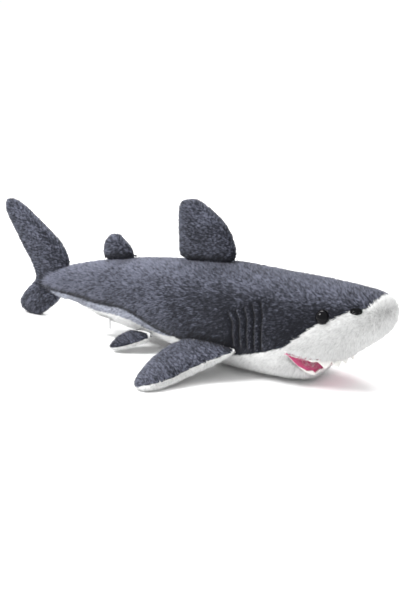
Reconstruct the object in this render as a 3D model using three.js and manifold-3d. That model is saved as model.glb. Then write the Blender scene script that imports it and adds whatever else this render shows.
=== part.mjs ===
// A plush shark, lying on its belly: +X towards the nose, +Y towards its left side, +Z up.
// Every fabric panel is a thin shell, and the polyester filling inside it is a solid of its own.
// Lengths are in millimetres.

import * as THREE from 'three';
import { mergeVertices } from 'three/addons/utils/BufferGeometryUtils.js';
import Module from 'manifold-3d';

const wasm = await Module();
wasm.setup();

// Overall sizes of the body
const LENGTH = 500;
const BODY_HEIGHT = 104;
const BODY_WIDTH = 102;

// Fabric and clearances
const SKIN = 1.6;
const LINING = 1.2;
const FELT = 1.2;
const GAP = 0.3;

// Fineness of the faceted surfaces
const BODY_STATIONS = 18;
const NOSE_STATIONS = 4;
const BODY_SIDES = 16;
const FIN_SIDES = 8;
const FIN_STATIONS = 5;
const CAUDAL_STATIONS = 11;
const BARREL_SIDES = 24;
const SEAM_STEPS = 24;
const ROOT_SAMPLES = 12;
const EYE_SIDES = 14;
const DOME_STEPS = 4;

// Body outline: share of the length from the middle, then share of the height or half width
const BACK_LINE = [
  [-0.41, 0.42], [-0.38, 0.51], [-0.328, 0.615], [-0.262, 0.71], [-0.128, 0.85], [0, 0.933],
  [0.12, 0.995], [0.24, 0.995], [0.34, 1], [0.42, 0.985], [0.5, 0.97],
];
const BELLY_LINE = [
  [-0.41, 0.36], [-0.35, 0.25], [-0.3, 0.25], [-0.2, 0.165], [-0.1, 0.115], [0, 0.07],
  [0.1, 0.005], [0.16, -0.014], [0.24, -0.014], [0.3, 0.01], [0.34, 0.058], [0.38, 0.21],
  [0.414, 0.356], [0.446, 0.47], [0.5, 0.58],
];
const WIDEST_LINE = [
  [-0.41, 0.39], [-0.328, 0.43], [-0.2, 0.465], [-0.04, 0.48], [0.2, 0.45], [0.3, 0.46],
  [0.36, 0.53], [0.4, 0.645], [0.446, 0.735], [0.5, 0.8],
];
const HALF_WIDTH_LINE = [
  [-0.41, 0.04], [-0.38, 0.16], [-0.328, 0.275], [-0.276, 0.37], [-0.2, 0.55], [-0.1, 0.745],
  [0.04, 0.92], [0.12, 0.98], [0.2, 1], [0.26, 0.98], [0.32, 0.92], [0.36, 0.84],
  [0.4, 0.745], [0.43, 0.65], [0.476, 0.53], [0.5, 0.49],
];
// Side seam between the grey back and the white belly
const SEAM_LINE = [
  [-0.42, 0.33], [-0.33, 0.345], [-0.27, 0.36], [-0.2, 0.37], [-0.147, 0.395], [-0.11, 0.4],
  [-0.06, 0.36], [-0.02, 0.29], [0.03, 0.25], [0.12, 0.235], [0.2, 0.24], [0.232, 0.286],
  [0.284, 0.372], [0.314, 0.445], [0.342, 0.56], [0.37, 0.67], [0.4, 0.735], [0.433, 0.83],
  [0.456, 0.86], [0.47, 0.92], [0.484, 1.1],
];
const TAIL_TIP = -0.41;
const BELLY_PANEL_END = -0.38;
const SECTION_FULLNESS = 2.25;
const NOSE_ROUND = 26;
const NOSE_LEVEL = 0.8;

// Bends of the body: vertical hinge lines, with a round-ended joint between the filled sections
const WAIST_AT = -0.06;
const TAIL_AT = -0.276;
const CAUDAL_AT = -0.35;
const BARREL_MARGIN = 1.06;

// Mouth: its corners are at shares of the length and height
const MOUTH_CORNER_AT = 0.312;
const MOUTH_CORNER_RISE = 0.346;
const UPPER_LIP_SLOPE = -0.15;
const JAW_SLOPE = -1.3;
const JAW_THROAT_GAP = 9;
const CHEEK_SETBACK = 2;
const MOUTH_ARC = 0.46 * Math.PI;
const TOOTH_DEPTH_UPPER = 8;
const TOOTH_DEPTH_LOWER = 4.5;
const TEETH_UPPER = 9;
const TEETH_LOWER = 9;
const TOOTH_BAND = 2;
const UPPER_TEETH_INSET = 5;
const LOWER_TEETH_INSET = 4;

// Fins. Outline rows: share of the span, trailing edge, leading edge (shares of the root
// chord, from the root's rear end), and share of the greatest half thickness. A side fin
// leaves the body at a share of its height, and droops until its tip is low over the floor.
const FIN_ROOT_RADIUS = 3;
const DORSAL = {
  at: -0.006, chord: 70, span: 62, halfThickness: 10.5,
  outline: [
    [0, 0, 1, 0.29], [0.25, 0.01, 0.95, 0.92], [0.5, 0.03, 0.86, 1], [0.72, 0.04, 0.68, 0.9],
    [0.9, 0.06, 0.46, 0.72], [0.98, 0.12, 0.33, 0.5], [1, 0.18, 0.26, 0.3],
  ],
};
const SECOND_DORSAL = {
  at: -0.216, chord: 46, span: 27.5, halfThickness: 6.5,
  outline: [
    [0, 0, 1, 0.46], [0.3, 0.05, 0.9, 0.95], [0.6, 0.11, 0.79, 1], [0.85, 0.22, 0.66, 0.8],
    [1, 0.38, 0.52, 0.4],
  ],
};
const PECTORAL = {
  at: 0.08, chord: 65, span: 90, halfThickness: 9, height: 0.3, tipHeight: 4.1,
  outline: [
    [0, 0, 1, 0.33], [0.2, -0.16, 0.78, 0.85], [0.42, -0.22, 0.56, 1], [0.7, -0.16, 0.42, 0.85],
    [0.9, -0.05, 0.3, 0.6], [0.98, 0.04, 0.2, 0.4], [1, 0.09, 0.15, 0.25],
  ],
};
const PELVIC = {
  at: -0.09, chord: 32, span: 33, halfThickness: 5, height: 0.19, tipHeight: 4.8,
  outline: [
    [0, 0, 1, 0.6], [0.3, -0.12, 0.82, 1], [0.6, -0.2, 0.5, 0.95], [0.85, -0.2, 0.2, 0.7],
    [1, -0.16, 0, 0.4],
  ],
};
// Tail fin: rows of height, rear edge, front edge (from the nose-to-tail middle, as shares of
// the length) and half thickness, from the lower lobe's foot to the upper lobe's tip
const CAUDAL_HEIGHT = 131;
const CAUDAL_HALF_THICKNESS = 10;
const CAUDAL_OUTLINE = [
  [0.004, -0.44, -0.41, 0.3], [0.04, -0.46, -0.396, 0.5], [0.09, -0.464, -0.38, 0.62],
  [0.16, -0.454, -0.358, 0.75], [0.24, -0.434, -0.34, 0.9], [0.31, -0.418, -0.33, 1],
  [0.42, -0.42, -0.323, 1], [0.52, -0.433, -0.32, 0.95], [0.6, -0.448, -0.328, 0.9],
  [0.7, -0.465, -0.35, 0.8], [0.8, -0.483, -0.386, 0.72], [0.9, -0.499, -0.426, 0.62],
  [0.95, -0.5, -0.446, 0.52], [0.985, -0.497, -0.466, 0.4], [1, -0.489, -0.478, 0.2],
];

// Eyes, nostrils, gill tucks and care label, each at shares of the length and height
const EYE_AT = 0.381;
const EYE_RISE = 0.76;
const EYE_RADIUS = 6.2;
const EYE_DOME = 4.2;
const EYE_POST_RADIUS = 1.9;
const EYE_POST_LENGTH = 8;
const WASHER_RADIUS = 7.5;
const WASHER_THICKNESS = 1.4;
const RIM_SAMPLES = 28;
const POST_CLEARANCE = 0.4;
const NOSTRIL_AT = 0.445;
const NOSTRIL_UP = 0.846;
const NOSTRIL_LENGTH = 11;
const NOSTRIL_WIDTH = 5;
const NOSTRIL_RISE = 1.4;
const GILL_COUNT = 5;
const GILL_REAR_AT = 0.188;
const GILL_PITCH = 8.4;
const GILL_TOP_REAR = 0.64;
const GILL_TOP_STEP = 0.04;
const GILL_LEAN = 5;
const GILL_THREAD = 1.6;
const GILL_STATIONS = 4;
const LABEL_AT = -0.184;
const LABEL_LENGTH = 22;
const LABEL_DROP = 12;
const LABEL_SEAM_RISE = 8;
const LABEL_THICKNESS = 0.8;

// Colours and finishes
const PLUSH_GREY = { color: '#4e5361', roughness: 0.95, metalness: 0 };
const PLUSH_WHITE = { color: '#e9ebea', roughness: 0.95, metalness: 0 };
const VELOUR_PINK = { color: '#c2557e', roughness: 0.9, metalness: 0 };
const FELT_WHITE = { color: '#f4f3ef', roughness: 0.9, metalness: 0 };
const FILLING_WHITE = { color: '#f7f7f5', roughness: 1, metalness: 0 };
const EYE_BLACK = { color: '#07070a', roughness: 0.08, metalness: 0 };
const WASHER_WHITE = { color: '#e4e4e0', roughness: 0.5, metalness: 0 };
const THREAD_BLACK = { color: '#16171c', roughness: 0.7, metalness: 0 };
const SATIN_WHITE = { color: '#f2f2f2', roughness: 0.45, metalness: 0 };

const HALF = LENGTH / 2;
const FAR = 2 * LENGTH;

// ---- Solids and geometries ------------------------------------------------------------

function toSolid(geometry) {
  const bare = geometry.clone();
  bare.deleteAttribute('normal');
  bare.deleteAttribute('uv');
  const merged = mergeVertices(bare, 1e-4);
  return new wasm.Manifold(new wasm.Mesh({
    numProp: 3,
    vertProperties: new Float32Array(merged.attributes.position.array),
    triVerts: new Uint32Array(merged.index.array),
  }));
}

function toGeometry(solid) {
  const mesh = solid.getMesh();
  const geometry = new THREE.BufferGeometry();
  geometry.setAttribute('position', new THREE.BufferAttribute(mesh.vertProperties, 3));
  geometry.setIndex(new THREE.BufferAttribute(mesh.triVerts, 1));
  geometry.computeVertexNormals();
  return geometry;
}

// A closed surface through rings of equal point counts, with a fan over each end
function loft(rings) {
  const count = rings[0].length;
  const points = rings.flat();
  const triangles = [];
  for (let k = 0; k + 1 < rings.length; k++) {
    for (let i = 0; i < count; i++) {
      const a = k * count + i;
      const b = k * count + (i + 1) % count;
      triangles.push([a, b, b + count], [a, b + count, a + count]);
    }
  }
  for (const [start, flip] of [[0, true], [(rings.length - 1) * count, false]]) {
    const centre = new THREE.Vector3();
    for (let i = 0; i < count; i++) {
      centre.addScaledVector(points[start + i], 1 / count);
    }
    const hub = points.push(centre) - 1;
    for (let i = 0; i < count; i++) {
      const a = start + i;
      const b = start + (i + 1) % count;
      triangles.push(flip ? [b, a, hub] : [a, b, hub]);
    }
  }
  let volume = 0;
  for (const [a, b, c] of triangles) {
    volume += points[a].dot(points[b].clone().cross(points[c])) / 6;
  }
  const outward = volume > 0 ? triangles : triangles.map(([a, b, c]) => [a, c, b]);
  const geometry = new THREE.BufferGeometry().setFromPoints(points);
  geometry.setIndex(outward.flat());
  return toSolid(geometry);
}

// A prism over an outline drawn in the X-Z plane, between two Y planes
function sidePrism(outline, fromY = -FAR, toY = FAR) {
  const shape = new THREE.Shape(outline.map(([x, z]) => new THREE.Vector2(x, z)));
  const geometry = new THREE.ExtrudeGeometry(shape, { depth: toY - fromY, bevelEnabled: false });
  geometry.rotateX(Math.PI / 2);
  geometry.translate(0, toY, 0);
  return toSolid(geometry);
}

function box(from, to) {
  const geometry = new THREE.BoxGeometry(to[0] - from[0], to[1] - from[1], to[2] - from[2]);
  geometry.translate((from[0] + to[0]) / 2, (from[1] + to[1]) / 2, (from[2] + to[2]) / 2);
  return toSolid(geometry);
}

// A faceted cylinder that holds a round one of the radius within its flats
function uprightCylinder(x, radius) {
  const corner = radius / Math.cos(Math.PI / BARREL_SIDES);
  const geometry = new THREE.CylinderGeometry(corner, corner, 4 * BODY_HEIGHT, BARREL_SIDES);
  geometry.rotateX(Math.PI / 2);
  geometry.translate(x, 0, 0);
  return toSolid(geometry);
}

// A smooth curve through a few points: gives the value at any place along them
function smooth(points, scaleAlong, scaleValue) {
  const along = points.map(([a]) => a * scaleAlong);
  const values = points.map(([, v]) => v * scaleValue);
  const curve = new THREE.CubicInterpolant(along, values, 1);
  const first = along[0];
  const last = along[along.length - 1];
  return place => curve.evaluate(Math.min(Math.max(place, first), last))[0];
}

// ---- Body surface ---------------------------------------------------------------------

const backLine = smooth(BACK_LINE, LENGTH, BODY_HEIGHT);
const bellyLine = smooth(BELLY_LINE, LENGTH, BODY_HEIGHT);
const widestLine = smooth(WIDEST_LINE, LENGTH, BODY_HEIGHT);
const halfWidthLine = smooth(HALF_WIDTH_LINE, LENGTH, BODY_WIDTH / 2);
const seamLine = smooth(SEAM_LINE, LENGTH, BODY_HEIGHT);
const noseZ = NOSE_LEVEL * BODY_HEIGHT;

// Section of the body at x: half width, and heights of its back, belly and widest line
function section(x, inset = 0) {
  const tip = HALF - inset;
  const past = Math.max(0, (x - (tip - NOSE_ROUND)) / NOSE_ROUND);
  const round = Math.sqrt(Math.max(0, 1 - past * past));
  const shrink = value => noseZ + (value - noseZ) * round;
  const widest = shrink(widestLine(x));
  return {
    half: Math.max((halfWidthLine(x) - inset) * round, 0.2),
    back: Math.max(shrink(backLine(x) - inset), widest + 0.2),
    belly: Math.min(shrink(bellyLine(x) + inset), widest - 0.2),
    widest,
  };
}

function power(value) {
  return Math.sign(value) * Math.abs(value) ** (2 / SECTION_FULLNESS);
}

// How far a flat facet reaches of the smooth section that its corners lie on
const FACET_REACH = power(Math.cos(Math.PI / BODY_SIDES));

function bodySolid(inset) {
  const rear = TAIL_TIP * LENGTH + 2 * inset;
  const noseStart = HALF - inset - NOSE_ROUND;
  const stations = [];
  for (let i = 0; i < BODY_STATIONS; i++) {
    stations.push(rear + (noseStart - rear) * i / BODY_STATIONS);
  }
  for (let i = 0; i <= NOSE_STATIONS; i++) {
    const turn = Math.PI / 2 * i / NOSE_STATIONS;
    stations.push(noseStart + NOSE_ROUND * Math.sin(turn));
  }
  const rings = stations.map(x => {
    const { half, back, belly, widest } = section(x, inset);
    return Array.from({ length: BODY_SIDES }, (_, i) => {
      const turn = 2 * Math.PI * (i + 0.5) / BODY_SIDES;
      const reach = Math.sin(turn) > 0 ? back - widest : widest - belly;
      const y = half * power(Math.cos(turn));
      return new THREE.Vector3(x, y, widest + reach * power(Math.sin(turn)));
    });
  });
  return loft(rings).intersect(box([-FAR, -FAR, inset], [FAR, FAR, FAR]));
}

// Half width of the body at a station and height
function sideAt(x, z) {
  const { half, back, belly, widest } = section(x);
  const reach = z > widest ? back - widest : widest - belly;
  const share = Math.min(1, Math.abs(z - widest) / reach);
  return half * (1 - share ** SECTION_FULLNESS) ** (1 / SECTION_FULLNESS);
}

// Point on the body's side (side is 1 on the left, -1 on the right) and its outward normal
function surfaceFrame(x, z, side) {
  const step = 0.5;
  const point = new THREE.Vector3(x, side * sideAt(x, z), z);
  const along = new THREE.Vector3(2 * step, side * (sideAt(x + step, z) - sideAt(x - step, z)), 0);
  const up = new THREE.Vector3(0, side * (sideAt(x, z + step) - sideAt(x, z - step)), 2 * step);
  const normal = up.cross(along).multiplyScalar(side).normalize();
  return { point, normal };
}

// ---- Zones that divide the body into its bending sections and its fabric panels -------

function bend(share) {
  const x = share * LENGTH;
  return { x, radius: BARREL_MARGIN * halfWidthLine(x) };
}

const waist = bend(WAIST_AT);
const tailBend = bend(TAIL_AT);
const caudalBend = bend(CAUDAL_AT);

// Everything behind a bend, with its round front end
function behind({ x, radius }) {
  return box([-FAR, -FAR, -FAR], [x, FAR, FAR]).add(uprightCylinder(x, radius));
}

// Everything ahead of a bend: its socket's flats clear the corners of the round end
function aheadOf({ x, radius }) {
  const socket = radius / Math.cos(Math.PI / BARREL_SIDES) + GAP;
  return solid => solid.subtract(behind({ x, radius: socket }));
}

const zones = {
  trunk: aheadOf(waist),
  rear: solid => aheadOf(tailBend)(solid.intersect(behind(waist))),
  tail: solid => aheadOf(caudalBend)(solid.intersect(behind(tailBend))),
  caudal: solid => solid.intersect(behind(caudalBend)),
};

function seamOutline(fromX, margin) {
  const toX = SEAM_LINE.at(-1)[0] * LENGTH;
  const points = [];
  for (let i = 0; i <= SEAM_STEPS; i++) {
    const x = fromX + (toX - fromX) * i / SEAM_STEPS;
    points.push([x, seamLine(x) + margin]);
  }
  return points;
}

// The tail stock's end is grey all round, so the white belly panel stops short of it
const bellyEnd = BELLY_PANEL_END * LENGTH;
const seamFront = SEAM_LINE.at(-1)[0] * LENGTH;
const aboveSeam = sidePrism([
  [bellyEnd - GAP / 2, -FAR], ...seamOutline(bellyEnd - GAP / 2, GAP / 2),
  [seamFront - GAP, FAR], [-FAR, FAR], [-FAR, -FAR],
]);
const belowSeam = sidePrism([
  [bellyEnd + GAP / 2, -FAR], ...seamOutline(bellyEnd + GAP / 2, -GAP / 2),
  [seamFront, FAR], [FAR, FAR], [FAR, -FAR],
]);
const leftHalf = box([-FAR, GAP / 2, -FAR], [FAR, FAR, FAR]);
const rightHalf = box([-FAR, -FAR, -FAR], [FAR, -GAP / 2, FAR]);

// ---- Mouth ----------------------------------------------------------------------------

const cornerX = MOUTH_CORNER_AT * LENGTH;
const cornerZ = MOUTH_CORNER_RISE * BODY_HEIGHT;
const cheekSeam = cornerX - CHEEK_SETBACK;
const upperLip = x => cornerZ + UPPER_LIP_SLOPE * (x - cornerX);
const jawTop = x => cornerZ + JAW_SLOPE * (x - cornerX);
const floorOfCut = -cornerZ / 4;

// What is taken from the trunk, so that the jaw has its room to swing and the mouth is open
function mouthSpace(raise) {
  return sidePrism([
    [cheekSeam, cornerZ + GAP + raise],
    [cheekSeam - JAW_THROAT_GAP, floorOfCut],
    [HALF, floorOfCut],
    [HALF, upperLip(HALF) + raise],
    [cornerX, cornerZ + GAP + raise],
  ]);
}

// What the jaw holds below its own edge, which a lining lowers by its thickness
function jawSpace(lower) {
  return sidePrism([
    [cornerX, cornerZ - lower],
    [cornerX, floorOfCut],
    [cornerX + (cornerZ - lower - floorOfCut) / -JAW_SLOPE, floorOfCut],
  ]);
}

// How far ahead of the mouth's corners a lip runs before it meets the underside
function lipReach(level) {
  let x = cornerX;
  while (bellyLine(x) < level(x)) {
    x += GAP;
  }
  return x - cornerX;
}

// A saw-toothed felt strip along the mouth's edge, shallower towards the mouth's corners.
// Rise is its teeth's direction: 1 is up, -1 is down
function teethStrip(level, inset, count, depth, rise) {
  const front = lipReach(level) - inset;
  const halfWidth = sideAt(cornerX, cornerZ) - inset;
  const rings = [];
  const steps = 2 * count;
  for (let i = 0; i <= steps; i++) {
    const turn = MOUTH_ARC * (1 - 2 * i / steps);
    const reach = Math.cos(turn) * (i % 2 === 1 ? depth : TOOTH_BAND);
    const ring = [];
    for (const [offset, drop] of [[0, 0], [0, reach], [FELT, reach], [FELT, 0]]) {
      const x = cornerX + (front - offset) * Math.cos(turn);
      const y = (halfWidth - offset) * Math.sin(turn);
      ring.push(new THREE.Vector3(x, y, level(x) + rise * (GAP + drop)));
    }
    rings.push(ring);
  }
  return loft(rings);
}

// ---- Fins -----------------------------------------------------------------------------

// A fin lying flat: root along +X from its rear end, span along +Y, thickness along Z.
// Its hinge line is the root line, and the root is rounded about that line.
function finSolid({ chord, span, halfThickness, outline }, inset) {
  const rows = column => smooth(outline.map(row => [row[0], row[column]]), span, 1);
  const [trailing, leading, thickness] = [rows(1), rows(2), rows(3)];
  const rings = [];
  const addRing = (height, half, trim) => {
    const place = Math.max(height, 0);
    const rear = trailing(place) * chord + trim;
    const front = leading(place) * chord - trim;
    rings.push(Array.from({ length: FIN_SIDES }, (_, i) => {
      const turn = 2 * Math.PI * i / FIN_SIDES;
      const x = (rear + front) / 2 + (front - rear) / 2 * power(Math.cos(turn));
      return new THREE.Vector3(x, height, half * Math.sin(turn));
    }));
  };
  const radius = FIN_ROOT_RADIUS - inset;
  for (const turn of [1.2, 0.6]) {
    addRing(-radius * Math.sin(turn), radius * Math.cos(turn), inset + radius * (1 - Math.cos(turn)));
  }
  const top = span - inset;
  for (let i = 0; i <= FIN_STATIONS; i++) {
    const height = top * (1 - (1 - i / FIN_STATIONS) ** 1.3);
    addRing(height, Math.max(thickness(height) * halfThickness - inset, 0.3), inset);
  }
  return loft(rings);
}

function finPieces(fin, swapped) {
  const outer = finSolid(fin, 0);
  const shell = outer.subtract(finSolid(fin, SKIN));
  const above = box([-FAR, -FAR, GAP / 2], [FAR, FAR, FAR]);
  const below = box([-FAR, -FAR, -FAR], [FAR, FAR, -GAP / 2]);
  const halves = [shell.intersect(above), shell.intersect(below)];
  return {
    first: halves[swapped ? 1 : 0],
    second: halves[swapped ? 0 : 1],
    filling: finSolid(fin, SKIN + GAP),
  };
}

function caudalFin(inset) {
  const rows = column => smooth(CAUDAL_OUTLINE.map(row => [row[0], row[column]]), CAUDAL_HEIGHT, 1);
  const [rearEdge, frontEdge, thickness] = [rows(1), rows(2), rows(3)];
  const bottom = CAUDAL_OUTLINE[0][0] * CAUDAL_HEIGHT + inset;
  const top = CAUDAL_HEIGHT - inset;
  const rings = [];
  for (let i = 0; i <= CAUDAL_STATIONS; i++) {
    const z = bottom + (top - bottom) * (1 - Math.cos(Math.PI * i / CAUDAL_STATIONS)) / 2;
    const rear = rearEdge(z) * LENGTH + inset;
    const front = frontEdge(z) * LENGTH - inset;
    const half = Math.max(thickness(z) * CAUDAL_HALF_THICKNESS - inset, 0.4);
    rings.push(Array.from({ length: FIN_SIDES }, (_, k) => {
      const turn = 2 * Math.PI * k / FIN_SIDES;
      const x = (rear + front) / 2 + (front - rear) / 2 * power(Math.cos(turn));
      return new THREE.Vector3(x, half * Math.sin(turn), z);
    }));
  }
  return loft(rings);
}

// ---- Assembly -------------------------------------------------------------------------

const shark = new THREE.Group();

function addMesh(parent, name, geometry, finish) {
  const mesh = new THREE.Mesh(geometry, new THREE.MeshStandardMaterial(finish));
  mesh.name = name;
  parent.add(mesh);
  return mesh;
}

function addSolid(parent, name, solid, finish) {
  return addMesh(parent, name, toGeometry(solid), finish);
}

const envelope = bodySolid(0);
const cavity = bodySolid(SKIN);
const fillingShape = bodySolid(SKIN + GAP);
const cavityWall = new THREE.Mesh(
  toGeometry(cavity), new THREE.MeshBasicMaterial({ side: THREE.DoubleSide }),
);

// How deep the inside of the skin lies under the rim of a washer, along an eye's own axis
function skinDepth(place) {
  const outward = new THREE.Vector3(0, 1, 0).transformDirection(place);
  let depth = SKIN;
  for (let i = 0; i < RIM_SAMPLES; i++) {
    const turn = 2 * Math.PI * i / RIM_SAMPLES;
    const rim = new THREE.Vector3(
      WASHER_RADIUS * Math.cos(turn), -EYE_POST_LENGTH, WASHER_RADIUS * Math.sin(turn),
    ).applyMatrix4(place);
    const hits = new THREE.Raycaster(rim, outward).intersectObject(cavityWall);
    depth = Math.max(depth, EYE_POST_LENGTH - hits[0].distance);
  }
  return depth;
}

// Eyes first, because their posts and washers take their room from the skin and the filling
const eyes = [['left', 1], ['right', -1]].map(([name, side]) => {
  const { point, normal } = surfaceFrame(EYE_AT * LENGTH, EYE_RISE * BODY_HEIGHT, side);
  const place = new THREE.Matrix4().compose(
    point, new THREE.Quaternion().setFromUnitVectors(new THREE.Vector3(0, 1, 0), normal),
    new THREE.Vector3(1, 1, 1),
  );
  const cylinder = (radius, from, to) => {
    const geometry = new THREE.CylinderGeometry(radius, radius, to - from, EYE_SIDES);
    geometry.translate(0, (from + to) / 2, 0);
    return toSolid(geometry.applyMatrix4(place));
  };
  return {
    name,
    place,
    washerTop: -skinDepth(place) - GAP,
    postHole: cylinder(EYE_POST_RADIUS + POST_CLEARANCE, -EYE_POST_LENGTH - GAP, EYE_DOME),
    pocket: cylinder(WASHER_RADIUS + GAP, -EYE_POST_LENGTH - 2 * GAP, 0),
  };
});

const shell = eyes.reduce((solid, eye) => solid.subtract(eye.postHole), envelope.subtract(cavity));
const filling = eyes.reduce((solid, eye) => solid.subtract(eye.pocket), fillingShape);

// Trunk and head
const trunk = new THREE.Group();
shark.add(trunk);
const trunkShell = zones.trunk(shell).subtract(mouthSpace(0));
const trunkBack = trunkShell.intersect(aboveSeam);
const trunkWhite = trunkShell.intersect(belowSeam);
addSolid(trunk, 'back_panel_left', trunkBack.intersect(leftHalf), PLUSH_GREY);
addSolid(trunk, 'back_panel_right', trunkBack.intersect(rightHalf), PLUSH_GREY);
addSolid(trunk, 'belly_panel',
  trunkWhite.intersect(box([-FAR, -FAR, -FAR], [cheekSeam - GAP / 2, FAR, FAR])), PLUSH_WHITE);
addSolid(trunk, 'snout_panel',
  trunkWhite.intersect(box([cheekSeam + GAP / 2, -FAR, -FAR], [FAR, FAR, FAR])), PLUSH_WHITE);
addSolid(trunk, 'trunk_filling',
  zones.trunk(filling).subtract(mouthSpace(LINING + GAP)), FILLING_WHITE);
addSolid(trunk, 'palate_lining',
  fillingShape.intersect(mouthSpace(LINING)).subtract(mouthSpace(0))
    .intersect(box([cornerX, -FAR, 0], [FAR, FAR, FAR])), VELOUR_PINK);
addSolid(trunk, 'upper_teeth',
  teethStrip(upperLip, UPPER_TEETH_INSET, TEETH_UPPER, TOOTH_DEPTH_UPPER, -1), FELT_WHITE);

for (const eye of eyes) {
  const dome = [];
  for (let i = 0; i <= DOME_STEPS; i++) {
    const turn = Math.PI / 2 * i / DOME_STEPS;
    dome.push(new THREE.Vector2(EYE_RADIUS * Math.sin(turn), GAP + EYE_DOME * Math.cos(turn)));
  }
  const profile = [
    new THREE.Vector2(0, -EYE_POST_LENGTH), new THREE.Vector2(EYE_POST_RADIUS, -EYE_POST_LENGTH),
    new THREE.Vector2(EYE_POST_RADIUS, GAP), ...dome.reverse(),
  ];
  profile[profile.length - 1].x = 0;
  const eyeMesh = addMesh(trunk, `eye_${eye.name}`, new THREE.LatheGeometry(profile, EYE_SIDES), EYE_BLACK);
  eyeMesh.applyMatrix4(eye.place);
  const bore = EYE_POST_RADIUS + GAP / 2;
  const washerBase = eye.washerTop - WASHER_THICKNESS;
  const washer = [
    [bore, washerBase], [WASHER_RADIUS, washerBase], [WASHER_RADIUS, eye.washerTop],
    [bore, eye.washerTop], [bore, washerBase],
  ].map(([x, y]) => new THREE.Vector2(x, y));
  const washerMesh = addMesh(
    trunk, `eye_washer_${eye.name}`, new THREE.LatheGeometry(washer, EYE_SIDES), WASHER_WHITE,
  );
  washerMesh.applyMatrix4(eye.place);
}

for (const [name, side] of [['left', 1], ['right', -1]]) {
  const { point, normal } = surfaceFrame(NOSTRIL_AT * LENGTH, NOSTRIL_UP * BODY_HEIGHT, side);
  const patch = new THREE.SphereGeometry(1, EYE_SIDES, DOME_STEPS + 2);
  patch.scale(NOSTRIL_LENGTH / 2, NOSTRIL_RISE / 2, NOSTRIL_WIDTH / 2);
  patch.translate(0, NOSTRIL_RISE / 2 + GAP, 0);
  const patchMesh = addMesh(trunk, `nostril_${name}`, patch, THREAD_BLACK);
  patchMesh.position.copy(point);
  patchMesh.quaternion.setFromUnitVectors(new THREE.Vector3(0, 1, 0), normal);
}

// Gill tucks: a thread line each, from the side seam up, clear of the pectoral fin's root
const aboveFinRoot = PECTORAL.height * BODY_HEIGHT + 2 * FIN_ROOT_RADIUS;
for (const [name, side] of [['left', 1], ['right', -1]]) {
  for (let i = 0; i < GILL_COUNT; i++) {
    const x = GILL_REAR_AT * LENGTH + GILL_PITCH * i;
    const low = Math.max(seamLine(x) + 0.03 * BODY_HEIGHT, aboveFinRoot);
    const high = (GILL_TOP_REAR + GILL_TOP_STEP * i) * BODY_HEIGHT;
    const rings = [];
    for (let k = 0; k <= GILL_STATIONS; k++) {
      const share = k / GILL_STATIONS;
      const z = low + (high - low) * share;
      const lean = -GILL_LEAN * share * share;
      const { point, normal } = surfaceFrame(x + lean, z, side);
      const across = new THREE.Vector3(GILL_THREAD / 2, 0, 0);
      const base = point.clone().addScaledVector(normal, 2 * GAP);
      const crest = point.clone().addScaledVector(normal, 2 * GAP + GILL_THREAD);
      rings.push([
        base.clone().sub(across), base.clone().add(across),
        crest.clone().add(across), crest.clone().sub(across),
      ]);
    }
    addSolid(trunk, `gill_tuck_${name}_${i + 1}`, loft(rings), THREAD_BLACK);
  }
}

// Jaw: hinged at the mouth's corners
const jaw = new THREE.Group();
shark.add(jaw);
addSolid(jaw, 'jaw_panel', shell.intersect(jawSpace(0)), PLUSH_WHITE);
addSolid(jaw, 'jaw_filling',
  fillingShape.intersect(jawSpace(LINING + GAP)), FILLING_WHITE);
addSolid(jaw, 'jaw_lining',
  fillingShape.intersect(jawSpace(0)).subtract(jawSpace(LINING)), VELOUR_PINK);
addSolid(jaw, 'lower_teeth',
  teethStrip(jawTop, LOWER_TEETH_INSET, TEETH_LOWER, TOOTH_DEPTH_LOWER, 1), FELT_WHITE);

// Rear body and tail stock
for (const [zone, prefix] of [['rear', 'rear'], ['tail', 'tail']]) {
  const part = new THREE.Group();
  shark.add(part);
  const cover = zones[zone](shell);
  const back = cover.intersect(aboveSeam);
  addSolid(part, `${prefix}_back_panel_left`, back.intersect(leftHalf), PLUSH_GREY);
  addSolid(part, `${prefix}_back_panel_right`, back.intersect(rightHalf), PLUSH_GREY);
  addSolid(part, `${prefix}_belly_panel`, cover.intersect(belowSeam), PLUSH_WHITE);
  addSolid(part, `${prefix}_filling`, zones[zone](filling), FILLING_WHITE);
}

// Tail fin
const caudal = new THREE.Group();
shark.add(caudal);
const caudalShape = inset => zones.caudal(caudalFin(inset).add(bodySolid(inset)));
const caudalShell = caudalShape(0).subtract(caudalFin(SKIN).add(bodySolid(SKIN)));
addSolid(caudal, 'caudal_fin_skin_left', caudalShell.intersect(leftHalf), PLUSH_GREY);
addSolid(caudal, 'caudal_fin_skin_right', caudalShell.intersect(rightHalf), PLUSH_GREY);
addSolid(caudal, 'caudal_fin_filling', caudalShape(SKIN + GAP), FILLING_WHITE);

// A fin's place: root line from its rear end to its front end on the body, then its lean
function seatFin(group, rearEnd, frontEnd, spanDirection) {
  const along = frontEnd.clone().sub(rearEnd).normalize();
  const out = spanDirection.clone().addScaledVector(along, -spanDirection.dot(along)).normalize();
  const through = along.clone().cross(out);
  group.quaternion.setFromRotationMatrix(new THREE.Matrix4().makeBasis(along, out, through));
  group.position.copy(rearEnd);
}

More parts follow.
